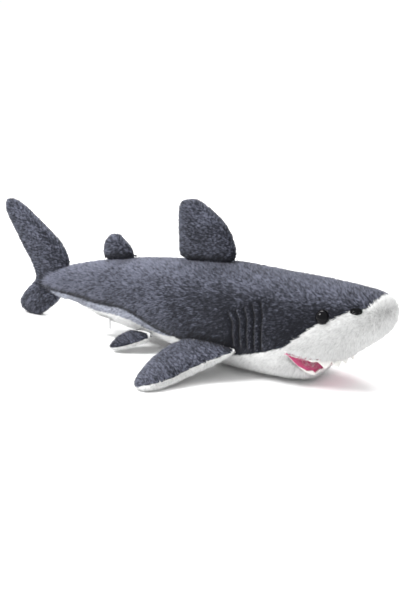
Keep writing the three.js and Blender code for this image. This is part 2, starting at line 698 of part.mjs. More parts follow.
// Back fins stand on the ridge line, lifted just clear of its crown
function backFin(name, fin) {
  const group = new THREE.Group();
  shark.add(group);
  const from = fin.at * LENGTH;
  const to = from + fin.chord;
  const ridge = x => widestLine(x) + (backLine(x) - widestLine(x)) * FACET_REACH;
  const chordHeight = x => ridge(from) + (ridge(to) - ridge(from)) * (x - from) / fin.chord;
  let crown = 0;
  for (let x = from; x <= to; x += fin.chord / ROOT_SAMPLES) {
    crown = Math.max(crown, ridge(x) - chordHeight(x));
  }
  const lift = crown + FIN_ROOT_RADIUS + GAP;
  seatFin(
    group, new THREE.Vector3(from, 0, chordHeight(from) + lift),
    new THREE.Vector3(to, 0, chordHeight(to) + lift), new THREE.Vector3(0, 0, 1),
  );
  const { first, second, filling: core } = finPieces(fin, false);
  addSolid(group, `${name}_skin_right`, first, PLUSH_GREY);
  addSolid(group, `${name}_skin_left`, second, PLUSH_GREY);
  addSolid(group, `${name}_filling`, core, FILLING_WHITE);
}

backFin('dorsal_fin', DORSAL);
backFin('second_dorsal_fin', SECOND_DORSAL);

// Side fins grow from the flank, and droop
function sideFin(name, fin, side) {
  const group = new THREE.Group();
  shark.add(group);
  const from = fin.at * LENGTH;
  const to = from + fin.chord;
  const z = fin.height * BODY_HEIGHT;
  const rearSide = sideAt(from, z);
  const frontSide = sideAt(to, z);
  let bulge = 0;
  for (let x = from; x <= to; x += fin.chord / ROOT_SAMPLES) {
    const straight = rearSide + (frontSide - rearSide) * (x - from) / fin.chord;
    for (let turn = -1.5; turn <= 1.5; turn += 0.25) {
      const skinHere = sideAt(x, z + FIN_ROOT_RADIUS * Math.sin(turn));
      bulge = Math.max(bulge, skinHere - straight - FIN_ROOT_RADIUS * (1 - Math.cos(turn)));
    }
  }
  const facetSag = (1 - FACET_REACH) * BODY_WIDTH / 2;
  const lift = bulge + FIN_ROOT_RADIUS + GAP - facetSag / 2;
  const droop = Math.asin((z - fin.tipHeight) / fin.span);
  seatFin(
    group, new THREE.Vector3(from, side * (rearSide + lift), z),
    new THREE.Vector3(to, side * (frontSide + lift), z),
    new THREE.Vector3(0, side * Math.cos(droop), -Math.sin(droop)),
  );
  const { first, second, filling: core } = finPieces(fin, side < 0);
  const sideName = side > 0 ? 'left' : 'right';
  addSolid(group, `${name}_${sideName}_top`, first, PLUSH_GREY);
  addSolid(group, `${name}_${sideName}_underside`, second, PLUSH_WHITE);
  addSolid(group, `${name}_${sideName}_filling`, core, FILLING_WHITE);
}

for (const side of [1, -1]) {
  sideFin('pectoral_fin', PECTORAL, side);
  sideFin('pelvic_fin', PELVIC, side);
}

// Care label, hanging from the side seam of the rear body
const labelX = LABEL_AT * LENGTH;
const labelZ = bellyLine(labelX) + LABEL_SEAM_RISE;
const labelFront = labelX + LABEL_LENGTH / 2;
const labelY = -(sideAt(labelFront, labelZ) + GAP + LABEL_THICKNESS / 2);
const label = new THREE.BoxGeometry(LABEL_LENGTH, LABEL_THICKNESS, LABEL_DROP);
label.translate(0, 0, -LABEL_DROP / 2);
const labelMesh = addMesh(shark, 'care_label', label, SATIN_WHITE);
labelMesh.position.set(labelX, labelY, labelZ);

export default shark;
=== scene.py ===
"""A stuffed plush shark: sewn skins with a short pile over a stuffed body and fins."""
import math

import bmesh
import bpy
import numpy as np
from mathutils import Matrix, Vector


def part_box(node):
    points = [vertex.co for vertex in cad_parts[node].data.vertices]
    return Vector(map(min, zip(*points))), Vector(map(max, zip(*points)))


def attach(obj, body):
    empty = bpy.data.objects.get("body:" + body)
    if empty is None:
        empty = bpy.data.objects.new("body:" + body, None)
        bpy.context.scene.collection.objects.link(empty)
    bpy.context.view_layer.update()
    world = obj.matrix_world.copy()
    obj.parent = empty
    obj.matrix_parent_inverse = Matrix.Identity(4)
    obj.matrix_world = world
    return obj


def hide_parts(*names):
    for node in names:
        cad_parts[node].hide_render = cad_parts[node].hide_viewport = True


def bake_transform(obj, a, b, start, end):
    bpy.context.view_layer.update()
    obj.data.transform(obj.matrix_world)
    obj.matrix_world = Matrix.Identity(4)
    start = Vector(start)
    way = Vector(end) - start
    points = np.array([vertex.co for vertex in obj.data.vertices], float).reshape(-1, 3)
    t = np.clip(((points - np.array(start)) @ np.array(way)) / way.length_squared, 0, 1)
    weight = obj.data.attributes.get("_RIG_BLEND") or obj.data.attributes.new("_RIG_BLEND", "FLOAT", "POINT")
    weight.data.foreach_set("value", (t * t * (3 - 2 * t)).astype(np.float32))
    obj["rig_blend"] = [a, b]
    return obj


bl_info = {
    "name": "Plush Shark",
    "version": (1, 0, 0),
    "blender": (4, 5, 0),
    "location": "View3D > Sidebar > Plush Shark",
    "description": "Builds the sewn skins, pile, mouth, eyes and trimmings of a plush shark",
    "category": "Object",
}

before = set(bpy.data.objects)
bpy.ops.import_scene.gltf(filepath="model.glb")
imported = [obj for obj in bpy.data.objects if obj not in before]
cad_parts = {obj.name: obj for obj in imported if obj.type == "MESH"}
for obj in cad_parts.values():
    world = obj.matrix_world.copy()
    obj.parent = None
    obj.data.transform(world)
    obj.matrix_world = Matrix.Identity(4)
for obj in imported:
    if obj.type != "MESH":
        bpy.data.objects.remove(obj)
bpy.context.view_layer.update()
MM = 0.001
LENGTH, HEIGHT, WIDTH = 500.0, 104.0, 102.0


# ---- Lines of the body, in millimetres ------------------------------------------------

def smooth_line(points, along, value):
    """A smooth curve through points, each a share of along and a share of value."""
    x, v = np.array(points, float).T
    x, v = x * along, v * value
    slope = np.gradient(v, x)

    def at(place):
        q = np.clip(place, x[0], x[-1])
        i = np.clip(np.searchsorted(x, q, "right") - 1, 0, len(x) - 2)
        h = x[i + 1] - x[i]
        t = (q - x[i]) / h
        rise = v[i] * (1 + 2 * t) * (1 - t) ** 2 + v[i + 1] * t * t * (3 - 2 * t)
        return rise + slope[i] * h * t * (1 - t) ** 2 + slope[i + 1] * h * t * t * (t - 1)

    return at


back_line = smooth_line([
    (-0.41, 0.42), (-0.38, 0.51), (-0.328, 0.615), (-0.262, 0.71), (-0.128, 0.85), (0, 0.933),
    (0.12, 0.995), (0.24, 0.995), (0.34, 1), (0.42, 0.985), (0.5, 0.97)], LENGTH, HEIGHT)
belly_line = smooth_line([
    (-0.41, 0.36), (-0.35, 0.25), (-0.3, 0.25), (-0.2, 0.165), (-0.1, 0.115), (0, 0.07),
    (0.1, 0.005), (0.16, -0.014), (0.24, -0.014), (0.3, 0.01), (0.34, 0.058), (0.38, 0.21),
    (0.414, 0.356), (0.446, 0.47), (0.5, 0.58)], LENGTH, HEIGHT)
widest_line = smooth_line([
    (-0.41, 0.39), (-0.328, 0.43), (-0.2, 0.465), (-0.04, 0.48), (0.2, 0.45), (0.3, 0.46),
    (0.36, 0.53), (0.4, 0.645), (0.446, 0.735), (0.5, 0.8)], LENGTH, HEIGHT)
half_width_line = smooth_line([
    (-0.41, 0.04), (-0.38, 0.16), (-0.328, 0.275), (-0.276, 0.37), (-0.2, 0.55), (-0.1, 0.745),
    (0.04, 0.92), (0.12, 0.98), (0.2, 1), (0.26, 0.98), (0.32, 0.92), (0.36, 0.84),
    (0.4, 0.745), (0.43, 0.65), (0.476, 0.53), (0.5, 0.49)], LENGTH, WIDTH / 2)
seam_line = smooth_line([
    (-0.42, 0.33), (-0.33, 0.345), (-0.27, 0.36), (-0.2, 0.37), (-0.147, 0.395), (-0.11, 0.4),
    (-0.06, 0.36), (-0.02, 0.29), (0.03, 0.25), (0.12, 0.235), (0.2, 0.24), (0.232, 0.286),
    (0.284, 0.372), (0.314, 0.445), (0.342, 0.56), (0.37, 0.67), (0.4, 0.735), (0.433, 0.83),
    (0.456, 0.86), (0.47, 0.92), (0.484, 1.1)], LENGTH, HEIGHT)
TAIL_END = -0.41 * LENGTH
NOSE = LENGTH / 2
NOSE_ROUND = 26.0
NOSE_LEVEL = 0.8 * HEIGHT
FULLNESS = 2.25
WHITE_ENDS = -0.38 * LENGTH

# Bends of the body: where each hinge's cloth starts and ends turning
WAIST = (-3.0, -57.0)
TAIL = (-114.0, -162.0)
FORK = (-162.0, -188.0)
BEND_LEVEL = 0.05
FRONT_CUT = -85.0
STOCK_CUT = -162.0

# Mouth, in the plane of symmetry
CORNER = np.array((156.0, 36.0))
LIP_SLOPE = -0.15
JAW_SLOPE = -1.3
JAW_TURN = np.array((0.885, -0.466))
JAW_SOFT = 16.0

GILLS = [(94.0 + 8.4 * i, (0.64 + 0.04 * i) * HEIGHT) for i in range(5)]
GILL_FOOT = 36.0
BAND = 9.5

# Places of the eye and the nostril on the side of the head
EYE = (190.5, 79.0)
NOSTRIL = (222.5, 88.0)

# How far the shade and the dent of each sewn line reach across the cloth, in metres
SEAM_REACH = 0.0028
SHADOW_REACH = 0.0034
SHADOW_RISE = 0.0010
CREASE_REACH = 0.0070
CREASE_DEPTH = 0.0016
GROOVE_REACH = 0.0024
RIDGE_BEHIND = 0.0044
RIDGE_HEIGHT = 0.0014
SOCKET_REACH = 0.0085
SOCKET_DEPTH = 0.0016
BARE_ROUND_EYE = 0.0064
ABOVE_FLOOR = 0.0004


def upper_lip(x):
    return CORNER[1] + LIP_SLOPE * (x - CORNER[0])


def jaw_top(x):
    return CORNER[1] + JAW_SLOPE * (x - CORNER[0])


def bend_ends(stretch):
    """Where the cloth of a sideways bend starts and ends turning, in metres."""
    return [(x * MM, 0, BEND_LEVEL) for x in stretch]


def jaw_bend():
    """The jaw's hinge, and the way from it over which the cloth bends, in metres."""
    hinge = Vector((CORNER[0] * MM, 0, CORNER[1] * MM))
    return hinge, Vector((JAW_TURN[0], 0, JAW_TURN[1])) * JAW_SOFT * MM


def section(x, inset=0.0):
    """Half width, and heights of the back, the belly and the widest line, at stations x."""
    past = np.clip((x - (NOSE - inset - NOSE_ROUND)) / NOSE_ROUND, 0, 1)
    shrink = np.sqrt(np.maximum(0, 1 - past * past))
    level = lambda z: NOSE_LEVEL + (z - NOSE_LEVEL) * shrink
    widest = level(widest_line(x))
    half = np.maximum((half_width_line(x) - inset) * shrink, 0.2)
    back = np.maximum(level(back_line(x) - inset), widest + 0.2)
    belly = np.minimum(level(belly_line(x) + inset), widest - 0.2)
    return half, back, belly, widest


def power(value):
    return np.sign(value) * np.abs(value) ** (2 / FULLNESS)


def side_at(x, z, inset=0.0):
    """Half width of the body at a station and a height."""
    half, back, belly, widest = section(np.asarray(x, float), inset)
    z = np.asarray(z, float)
    reach = np.where(z > widest, back - widest, widest - belly)
    share = np.clip(np.abs(z - widest) / reach, 0, 1)
    return half * (1 - share ** FULLNESS) ** (1 / FULLNESS)


def on_side(x, z, side):
    """A point on the body's side, in millimetres, and the outward direction there."""
    y = float(side_at(x, z))
    dx = float(side_at(x + 0.5, z) - side_at(x - 0.5, z))
    dz = float(side_at(x, z + 0.5) - side_at(x, z - 0.5))
    return Vector((x, side * y, z)), Vector((-dx, side, -dz)).normalized()


# ---- Sizes and colours that a user would change ---------------------------------------

def length_prop(name, about, default, low, high):
    return bpy.props.FloatProperty(name=name, description=about, default=default, min=low,
                                   max=high, unit="LENGTH", subtype="DISTANCE")


def colour_prop(name, about, default):
    return bpy.props.FloatVectorProperty(name=name, description=about, size=3, default=default,
                                         min=0, max=1, subtype="COLOR")


class PlushSizes(bpy.types.PropertyGroup):
    pile_length: length_prop("Pile length", "Length of the plush pile", 0.0040, 0.001, 0.012)
    pile_width: length_prop("Pile width", "Width of one tuft at its foot", 0.00072, 0.0002, 0.002)
    swell: length_prop("Swell", "How far the stuffing may push the cloth out", 0.005, 0, 0.01)
    seam_depth: length_prop("Seam depth", "How deep a seam lies in the plush", 0.0022, 0, 0.005)
    gill_depth: length_prop("Gill depth", "How deep the gill tucks lie", 0.0056, 0, 0.008)
    eye_radius: length_prop("Eye radius", "Radius of the safety eyes", 0.0068, 0.003, 0.01)
    tooth_length: length_prop("Tooth length", "Length of the longest felt tooth",
                              0.0068, 0.002, 0.015)
    pile_density: bpy.props.FloatProperty(
        name="Pile density", description="Tufts of pile on each square millimetre",
        default=2.3, min=0.2, max=6)


class PlushColours(bpy.types.PropertyGroup):
    grey: colour_prop("Grey plush", "Colour of the back and fins", (0.077, 0.0815, 0.107))
    # Painted shade: the white belly cloth just under the rear side seam, painted a bluish light grey.
    pale: colour_prop("Pale plush", "Colour of the band under the side seam", (0.27, 0.285, 0.34))
    white: colour_prop("White plush", "Colour of the belly and snout", (0.90, 0.905, 0.90))
    pink: colour_prop("Pink velour", "Colour of the mouth's lining", (0.80, 0.13, 0.32))
    felt: colour_prop("Felt", "Colour of the teeth", (0.86, 0.85, 0.82))
    black: colour_prop("Black", "Colour of the eyes and threads", (0.003, 0.003, 0.004))
    satin: colour_prop("Satin", "Colour of the care label", (0.62, 0.62, 0.62))


def sizes():
    return bpy.context.scene.plush_sizes


def colours():
    return bpy.context.scene.plush_colours


# ---- Shader node groups and materials -------------------------------------------------

def put(tree, kind, inputs=None, **settings):
    """Adds a node, with its settings and the values or links of its inputs."""
    made = tree.nodes.new(kind)
    for name, value in settings.items():
        setattr(made, name, value)
    for key, value in (inputs or {}).items():
        if isinstance(value, bpy.types.NodeSocket):
            tree.links.new(value, made.inputs[key])
        else:
            made.inputs[key].default_value = value
    return made


def new_group(name, kind, inputs, outputs):
    tree = bpy.data.node_groups.new(name, kind)
    for label, socket, default in inputs:
        made = tree.interface.new_socket(label, in_out="INPUT", socket_type=socket)
        if default is not None:
            made.default_value = default
    for label, socket in outputs:
        tree.interface.new_socket(label, in_out="OUTPUT", socket_type=socket)
    return tree, tree.nodes.new("NodeGroupInput").outputs, tree.nodes.new("NodeGroupOutput").inputs


def mottle_group():
    """Backing cloth of the plush: soft patches, and painted shade between the tufts of pile."""
    found = bpy.data.node_groups.get("Plush mottle")
    if found:
        return found
    tree, given, out = new_group(
        "Plush mottle", "ShaderNodeTree",
        [("Colour", "NodeSocketColor", (0.1, 0.1, 0.1, 1)),
         ("Patch size", "NodeSocketFloat", 60.0), ("Tuft size", "NodeSocketFloat", 700.0),
         ("Depth", "NodeSocketFloat", 0.5)],
        [("Colour", "NodeSocketColor"), ("Height", "NodeSocketFloat")])
    place = put(tree, "ShaderNodeTexCoord").outputs["Object"]
    patch = put(tree, "ShaderNodeTexNoise", {"Vector": place, "Scale": given["Patch size"],
                                             "Detail": 3.0, "Roughness": 0.6})
    tuft = put(tree, "ShaderNodeTexNoise", {"Vector": place, "Scale": given["Tuft size"],
                                            "Detail": 2.0, "Roughness": 0.5})
    both = put(tree, "ShaderNodeMath", {0: patch.outputs["Fac"], 1: 0.6}, operation="MULTIPLY")
    both = put(tree, "ShaderNodeMath", {0: tuft.outputs["Fac"], 1: 0.4, 2: both.outputs[0]},
               operation="MULTIPLY_ADD")
    shade = put(tree, "ShaderNodeMapRange", {
        "Value": both.outputs[0], "From Min": 0.3, "From Max": 0.7, "To Min": 0.0, "To Max": 1.0})
    # Painted shade: Depth mixes the backing towards black, and the noise spreads that shade in patches
    # between the tufts.
    dark = put(tree, "ShaderNodeMix", {"Factor": given["Depth"], "A": given["Colour"],
                                       "B": (0, 0, 0, 1)}, data_type="RGBA")
    colour = put(tree, "ShaderNodeMix", {0: shade.outputs[0], 6: dark.outputs[2],
                                         7: given["Colour"]}, data_type="RGBA")
    tree.links.new(colour.outputs[2], out["Colour"])
    tree.links.new(tuft.outputs["Fac"], out["Height"])
    return tree


def weave_group():
    """Fine crossed threads, for velour backing, felt fibres and satin."""
    found = bpy.data.node_groups.get("Fibre weave")
    if found:
        return found
    tree, given, out = new_group(
        "Fibre weave", "ShaderNodeTree",
        [("Colour", "NodeSocketColor", (0.5, 0.5, 0.5, 1)), ("Scale", "NodeSocketFloat", 900.0),
         ("Stretch", "NodeSocketVector", (1, 1, 1)), ("Contrast", "NodeSocketFloat", 0.3)],
        [("Colour", "NodeSocketColor"), ("Height", "NodeSocketFloat")])
    place = put(tree, "ShaderNodeTexCoord").outputs["Object"]
    drawn = put(tree, "ShaderNodeVectorMath", {0: place, 1: given["Stretch"]},
                operation="MULTIPLY")
    fibre = put(tree, "ShaderNodeTexNoise", {"Vector": drawn.outputs[0], "Scale": given["Scale"],
                                             "Detail": 4.0, "Roughness": 0.65})
    span = put(tree, "ShaderNodeMapRange", {"Value": fibre.outputs["Fac"], "From Min": 0.3,
                                            "From Max": 0.7, "To Min": 1.0, "To Max": 0.0})
    amount = put(tree, "ShaderNodeMath", {0: span.outputs[0], 1: given["Contrast"]},
                 operation="MULTIPLY")
    colour = put(tree, "ShaderNodeMix", {0: amount.outputs[0], 6: given["Colour"],
                                         7: (0, 0, 0, 1)}, data_type="RGBA")
    tree.links.new(colour.outputs[2], out["Colour"])
    tree.links.new(fibre.outputs["Fac"], out["Height"])
    return tree


def shader(name, rough, sheen=0.0, coat=0.0, specular=0.5):
    """A new material with plain settings on its own shader."""
    made = bpy.data.materials.new(name)
    made.use_nodes = True
    bsdf = made.node_tree.nodes["Principled BSDF"]
    bsdf.inputs["Roughness"].default_value = rough
    bsdf.inputs["Sheen Weight"].default_value = sheen
    bsdf.inputs["Sheen Roughness"].default_value = 0.5
    bsdf.inputs["Coat Weight"].default_value = coat
    bsdf.inputs["Specular IOR Level"].default_value = specular
    return made, bsdf


def plush_backing(name, colour, depth):
    """The cloth under the pile, dimmed with painted shade."""
    found = bpy.data.materials.get(name)
    if found:
        return found
    made, bsdf = shader(name, 0.95, specular=0.2)
    tree = made.node_tree
    group = put(tree, "ShaderNodeGroup", node_tree=mottle_group())
    group.inputs["Colour"].default_value = (*colour, 1)
    group.inputs["Depth"].default_value = depth
    tree.links.new(group.outputs["Colour"], bsdf.inputs["Base Color"])
    bump = put(tree, "ShaderNodeBump", {"Strength": 0.5, "Distance": 0.0008,
                                        "Height": group.outputs["Height"]})
    tree.links.new(bump.outputs[0], bsdf.inputs["Normal"])
    return made


def fibre_cloth(name, colour, rough, scale, stretch, contrast, relief, sheen=0.0, shine=0.1):
    """Velour, felt, satin or thread: one colour broken up by its own fibres."""
    found = bpy.data.materials.get(name)
    if found:
        return found
    made, bsdf = shader(name, rough, sheen=sheen, specular=shine)
    tree = made.node_tree
    group = put(tree, "ShaderNodeGroup", node_tree=weave_group())
    group.inputs["Colour"].default_value = (*colour, 1)
    group.inputs["Scale"].default_value = scale
    group.inputs["Stretch"].default_value = stretch
    group.inputs["Contrast"].default_value = contrast
    tree.links.new(group.outputs["Colour"], bsdf.inputs["Base Color"])
    bump = put(tree, "ShaderNodeBump", {"Strength": 0.6, "Distance": relief,
                                        "Height": group.outputs["Height"]})
    tree.links.new(bump.outputs[0], bsdf.inputs["Normal"])
    return made


def hazy_plastic(name, colour, rough, low, high, scale, specular=0.5):
    """A plastic whose gloss is slightly clouded, between a low and a high roughness."""
    found = bpy.data.materials.get(name)
    if found:
        return found
    made, bsdf = shader(name, rough, specular=specular)
    tree = made.node_tree
    place = put(tree, "ShaderNodeTexCoord").outputs["Object"]
    cloud = put(tree, "ShaderNodeTexNoise", {"Vector": place, "Scale": scale, "Detail": 3.0})
    gloss = put(tree, "ShaderNodeMapRange", {"Value": cloud.outputs["Fac"],
                                             "To Min": low, "To Max": high})
    tree.links.new(gloss.outputs[0], bsdf.inputs["Roughness"])
    bsdf.inputs["Base Color"].default_value = (*colour, 1)
    return made


def pile_shades(name, colour, steps):
    """The shades that the tufts of one plush take, from its darkest to its lightest: dyed shades picked at
    random, and painted light and shade picked by the tone mark.
    """
    shades = []
    for i, step in enumerate(steps):
        label = f"{name} pile {i + 1}"
        made = bpy.data.materials.get(label)
        if not made:
            made, bsdf = shader(label, 0.9, sheen=0.12, specular=0.1)
            shade = [min(1, c * step) for c in colour]
            bsdf.inputs["Base Color"].default_value = (*shade, 1)
        shades.append(made)
    return shades


# Steps of the pile's shades: noise picks among them at random, and the tone mark picks them for painted
# light and shade.
GREY_STEPS = (0.28, 0.58, 0.95, 1.45, 2.2)
PALE_STEPS = (0.5, 0.75, 1.0, 1.3, 1.7)
WHITE_STEPS = (0.78, 0.9, 0.97, 1.03, 1.08)


# Each plush: its name, its shades, and how dark and how mottled its backing is; both are painted shade under
# the pile
PLUSHES = {
    "grey": ("Grey plush", GREY_STEPS, 0.5, 0.6),
    "pale": ("Pale plush", PALE_STEPS, 0.7, 0.5),
    "white": ("White plush", WHITE_STEPS, 0.86, 0.25),
}


def shades_of(tone):
    name, steps, _, _ = PLUSHES[tone]
    return pile_shades(name, getattr(colours(), tone), steps)


def backing_of(tone):
    name, _, dim, depth = PLUSHES[tone]
    # Painted shade: the backing takes the plush's colour dimmed, for the shade under the pile.
    return plush_backing(f"{name} backing", [c * dim for c in getattr(colours(), tone)], depth)


# ---- Mesh helpers ---------------------------------------------------------------------

MARKS = ("nap", "pile", "grow", "tone")


def new_object(name, verts, faces):
    mesh = bpy.data.meshes.new(name)
    mesh.from_pydata([tuple(v) for v in verts], [], [tuple(f) for f in faces])
    mesh.validate()
    made = bpy.data.objects.new(name, mesh)
    bpy.context.scene.collection.objects.link(made)
    return made


def coords(mesh):
    co = np.zeros(len(mesh.vertices) * 3)
    mesh.vertices.foreach_get("co", co)
    return co.reshape(-1, 3)


def set_coords(mesh, co):
    mesh.vertices.foreach_set("co", np.ascontiguousarray(co, np.float32).ravel())
    mesh.update()


def normals(mesh):
    co = np.zeros(len(mesh.vertices) * 3, np.float32)
    mesh.vertex_normals.foreach_get("vector", co)
    return co.reshape(-1, 3).astype(float)


def evaluated_mesh(obj):
    graph = bpy.context.evaluated_depsgraph_get()
    graph.update()
    return bpy.data.meshes.new_from_object(obj.evaluated_get(graph))


def take_mesh(obj, mesh, name):
    """Gives an object its new mesh, and removes the old one."""
    old, obj.data = obj.data, mesh
    bpy.data.meshes.remove(old)
    mesh.name = name


def run_nodes(obj, title, tree, values):
    """The mesh that a Geometry Nodes tree makes of an object, with its inputs set by name."""
    modifier = obj.modifiers.new(title, "NODES")
    modifier.node_group = tree
    for item in tree.interface.items_tree:
        if item.item_type == "SOCKET" and item.in_out == "INPUT" and item.name in values:
            modifier[item.identifier] = values[item.name]
    made = evaluated_mesh(obj)
    obj.modifiers.clear()
    return made


def with_modifier(obj, kind, **settings):
    """Adds a modifier, takes its result as the object's mesh, and removes it."""
    modifier = obj.modifiers.new(kind.title(), kind)
    for name, value in settings.items():
        setattr(modifier, name, value)
    made = evaluated_mesh(obj)
    obj.modifiers.clear()
    take_mesh(obj, made, obj.name)
    return obj


def ringed(rings):
    """Vertices and faces of a closed surface through rings, with a fan over each end."""
    count = len(rings[0])
    verts = [p for ring in rings for p in ring]
    faces = []
    for k in range(len(rings) - 1):
        for i in range(count):
            a, b = k * count + i, k * count + (i + 1) % count
            faces.append((a, b, b + count, a + count))
    for start, flip in ((0, True), ((len(rings) - 1) * count, False)):
        hub = len(verts)
        verts.append(np.mean(verts[start:start + count], axis=0))
        for i in range(count):
            a, b = start + i, start + (i + 1) % count
            faces.append((b, a, hub) if flip else (a, b, hub))
    return verts, faces


def grid_faces(rows, across):
    """Faces of a grid of points, with across faces in each row."""
    faces = []
    for i in range(rows - 1):
        for j in range(across):
            k = i * (across + 1) + j
            faces.append((k, k + 1, k + across + 2, k + across + 1))
    return faces


def outward(mesh):
    """Turns the faces of a closed mesh outward."""
    work = bmesh.new()
    work.from_mesh(mesh)
    bmesh.ops.recalc_face_normals(work, faces=work.faces)
    if work.calc_volume(signed=True) < 0:
        bmesh.ops.reverse_faces(work, faces=work.faces)
    work.to_mesh(mesh)
    work.free()


def falloff(points, curve, width):
    """How near each point is to a line of places: 1 on it, fading over the width."""
    near = np.full(len(points), 1e9)
    for start in range(0, len(curve), 64):
        part = curve[start:start + 64]
        d = ((points[:, None, :] - part[None]) ** 2).sum(2)
        near = np.minimum(near, d.min(1))
    return np.exp(-near / width ** 2)


CLOTH_STEPS = 20


def stuff(obj, held, swell, pressure=4.0):
    """Fills a cloth form: its held seams stay, and the rest swells by at most swell metres."""
    mesh = obj.data
    before = coords(mesh)
    if swell <= 0:
        return before
    group = obj.vertex_groups.new(name="Seams")
    for i in np.flatnonzero(held > 0.05):
        group.add([int(i)], float(held[i]), "REPLACE")
    cloth = obj.modifiers.new("Cloth", "CLOTH")
    rules = cloth.settings
    rules.quality = 5
    rules.mass = 0.2
    rules.tension_stiffness = rules.compression_stiffness = 12
    rules.shear_stiffness = 6
    rules.bending_stiffness = 0.4
    rules.vertex_group_mass = group.name
    rules.use_pressure = True
    rules.uniform_pressure_force = pressure
    rules.effector_weights.gravity = 0
    cloth.collision_settings.use_collision = False
    cloth.point_cache.frame_start, cloth.point_cache.frame_end = 1, CLOTH_STEPS
    scene = bpy.context.scene
    for step in range(1, CLOTH_STEPS + 1):
        scene.frame_set(step)
    graph = bpy.context.evaluated_depsgraph_get()
    result = obj.evaluated_get(graph)
    after = coords(result.data)
    obj.modifiers.clear()
    obj.vertex_groups.clear()
    scene.frame_set(1)
    move = after - before
    far = np.linalg.norm(move, axis=1)
    far[~np.isfinite(far)] = 0
    move = np.nan_to_num(move) * (swell * np.tanh(far / swell) / np.maximum(far, 1e-9))[:, None]
    set_coords(mesh, before + move)
    return before + move


def soften(mesh, rounds, keep=None):
    """Evens out a mesh a little, except where keep is 1."""
    co = coords(mesh)
    edges = np.zeros(len(mesh.edges) * 2, int)
    mesh.edges.foreach_get("vertices", edges)
    a, b = edges.reshape(-1, 2).T
    degree = np.maximum(np.bincount(np.r_[a, b], minlength=len(co)), 1)[:, None]
    for _ in range(rounds):
        total = np.zeros_like(co)
        np.add.at(total, a, co[b])
        np.add.at(total, b, co[a])
        step = (total / degree - co) * 0.5
        co = co + (step if keep is None else step * (1 - keep[:, None]))
    set_coords(mesh, co)
    return co


def dress(piece, material):
    piece.data.materials.clear()
    piece.data.materials.append(material)


def split_off(source, name, chosen):
    """A new object of the chosen faces of source, with its own attributes kept."""
    made = bpy.data.objects.new(name, source.data.copy())
    made.data.name = name
    bpy.context.scene.collection.objects.link(made)
    work = bmesh.new()
    work.from_mesh(made.data)
    work.faces.ensure_lookup_table()
    drop = [f for f in work.faces if not chosen[f.index]]
    bmesh.ops.delete(work, geom=drop, context="FACES")
    work.to_mesh(made.data)
    work.free()
    return made


def face_centres(mesh):
    co = np.zeros(len(mesh.polygons) * 3)
    mesh.polygons.foreach_get("center", co)
    return co.reshape(-1, 3)


def smooth_shaded(mesh):
    mesh.polygons.foreach_set("use_smooth", [True] * len(mesh.polygons))
    mesh.update()


def give(mesh, name, kind, values):
    layer = mesh.attributes.get(name) or mesh.attributes.new(name, kind, "POINT")
    key = "vector" if kind == "FLOAT_VECTOR" else "value"
    layer.data.foreach_set(key, np.ascontiguousarray(values, np.float32).ravel())


def forget(mesh, *names):
    for name in names:
        layer = mesh.attributes.get(name)
        if layer:
            mesh.attributes.remove(layer)


# ---- Pile: short tufts over the plush -------------------------------------------------

MIDDLE_SHADE = 2.0
PATCH_CONTRAST = 3.6
TUFT_CONTRAST = 3.0


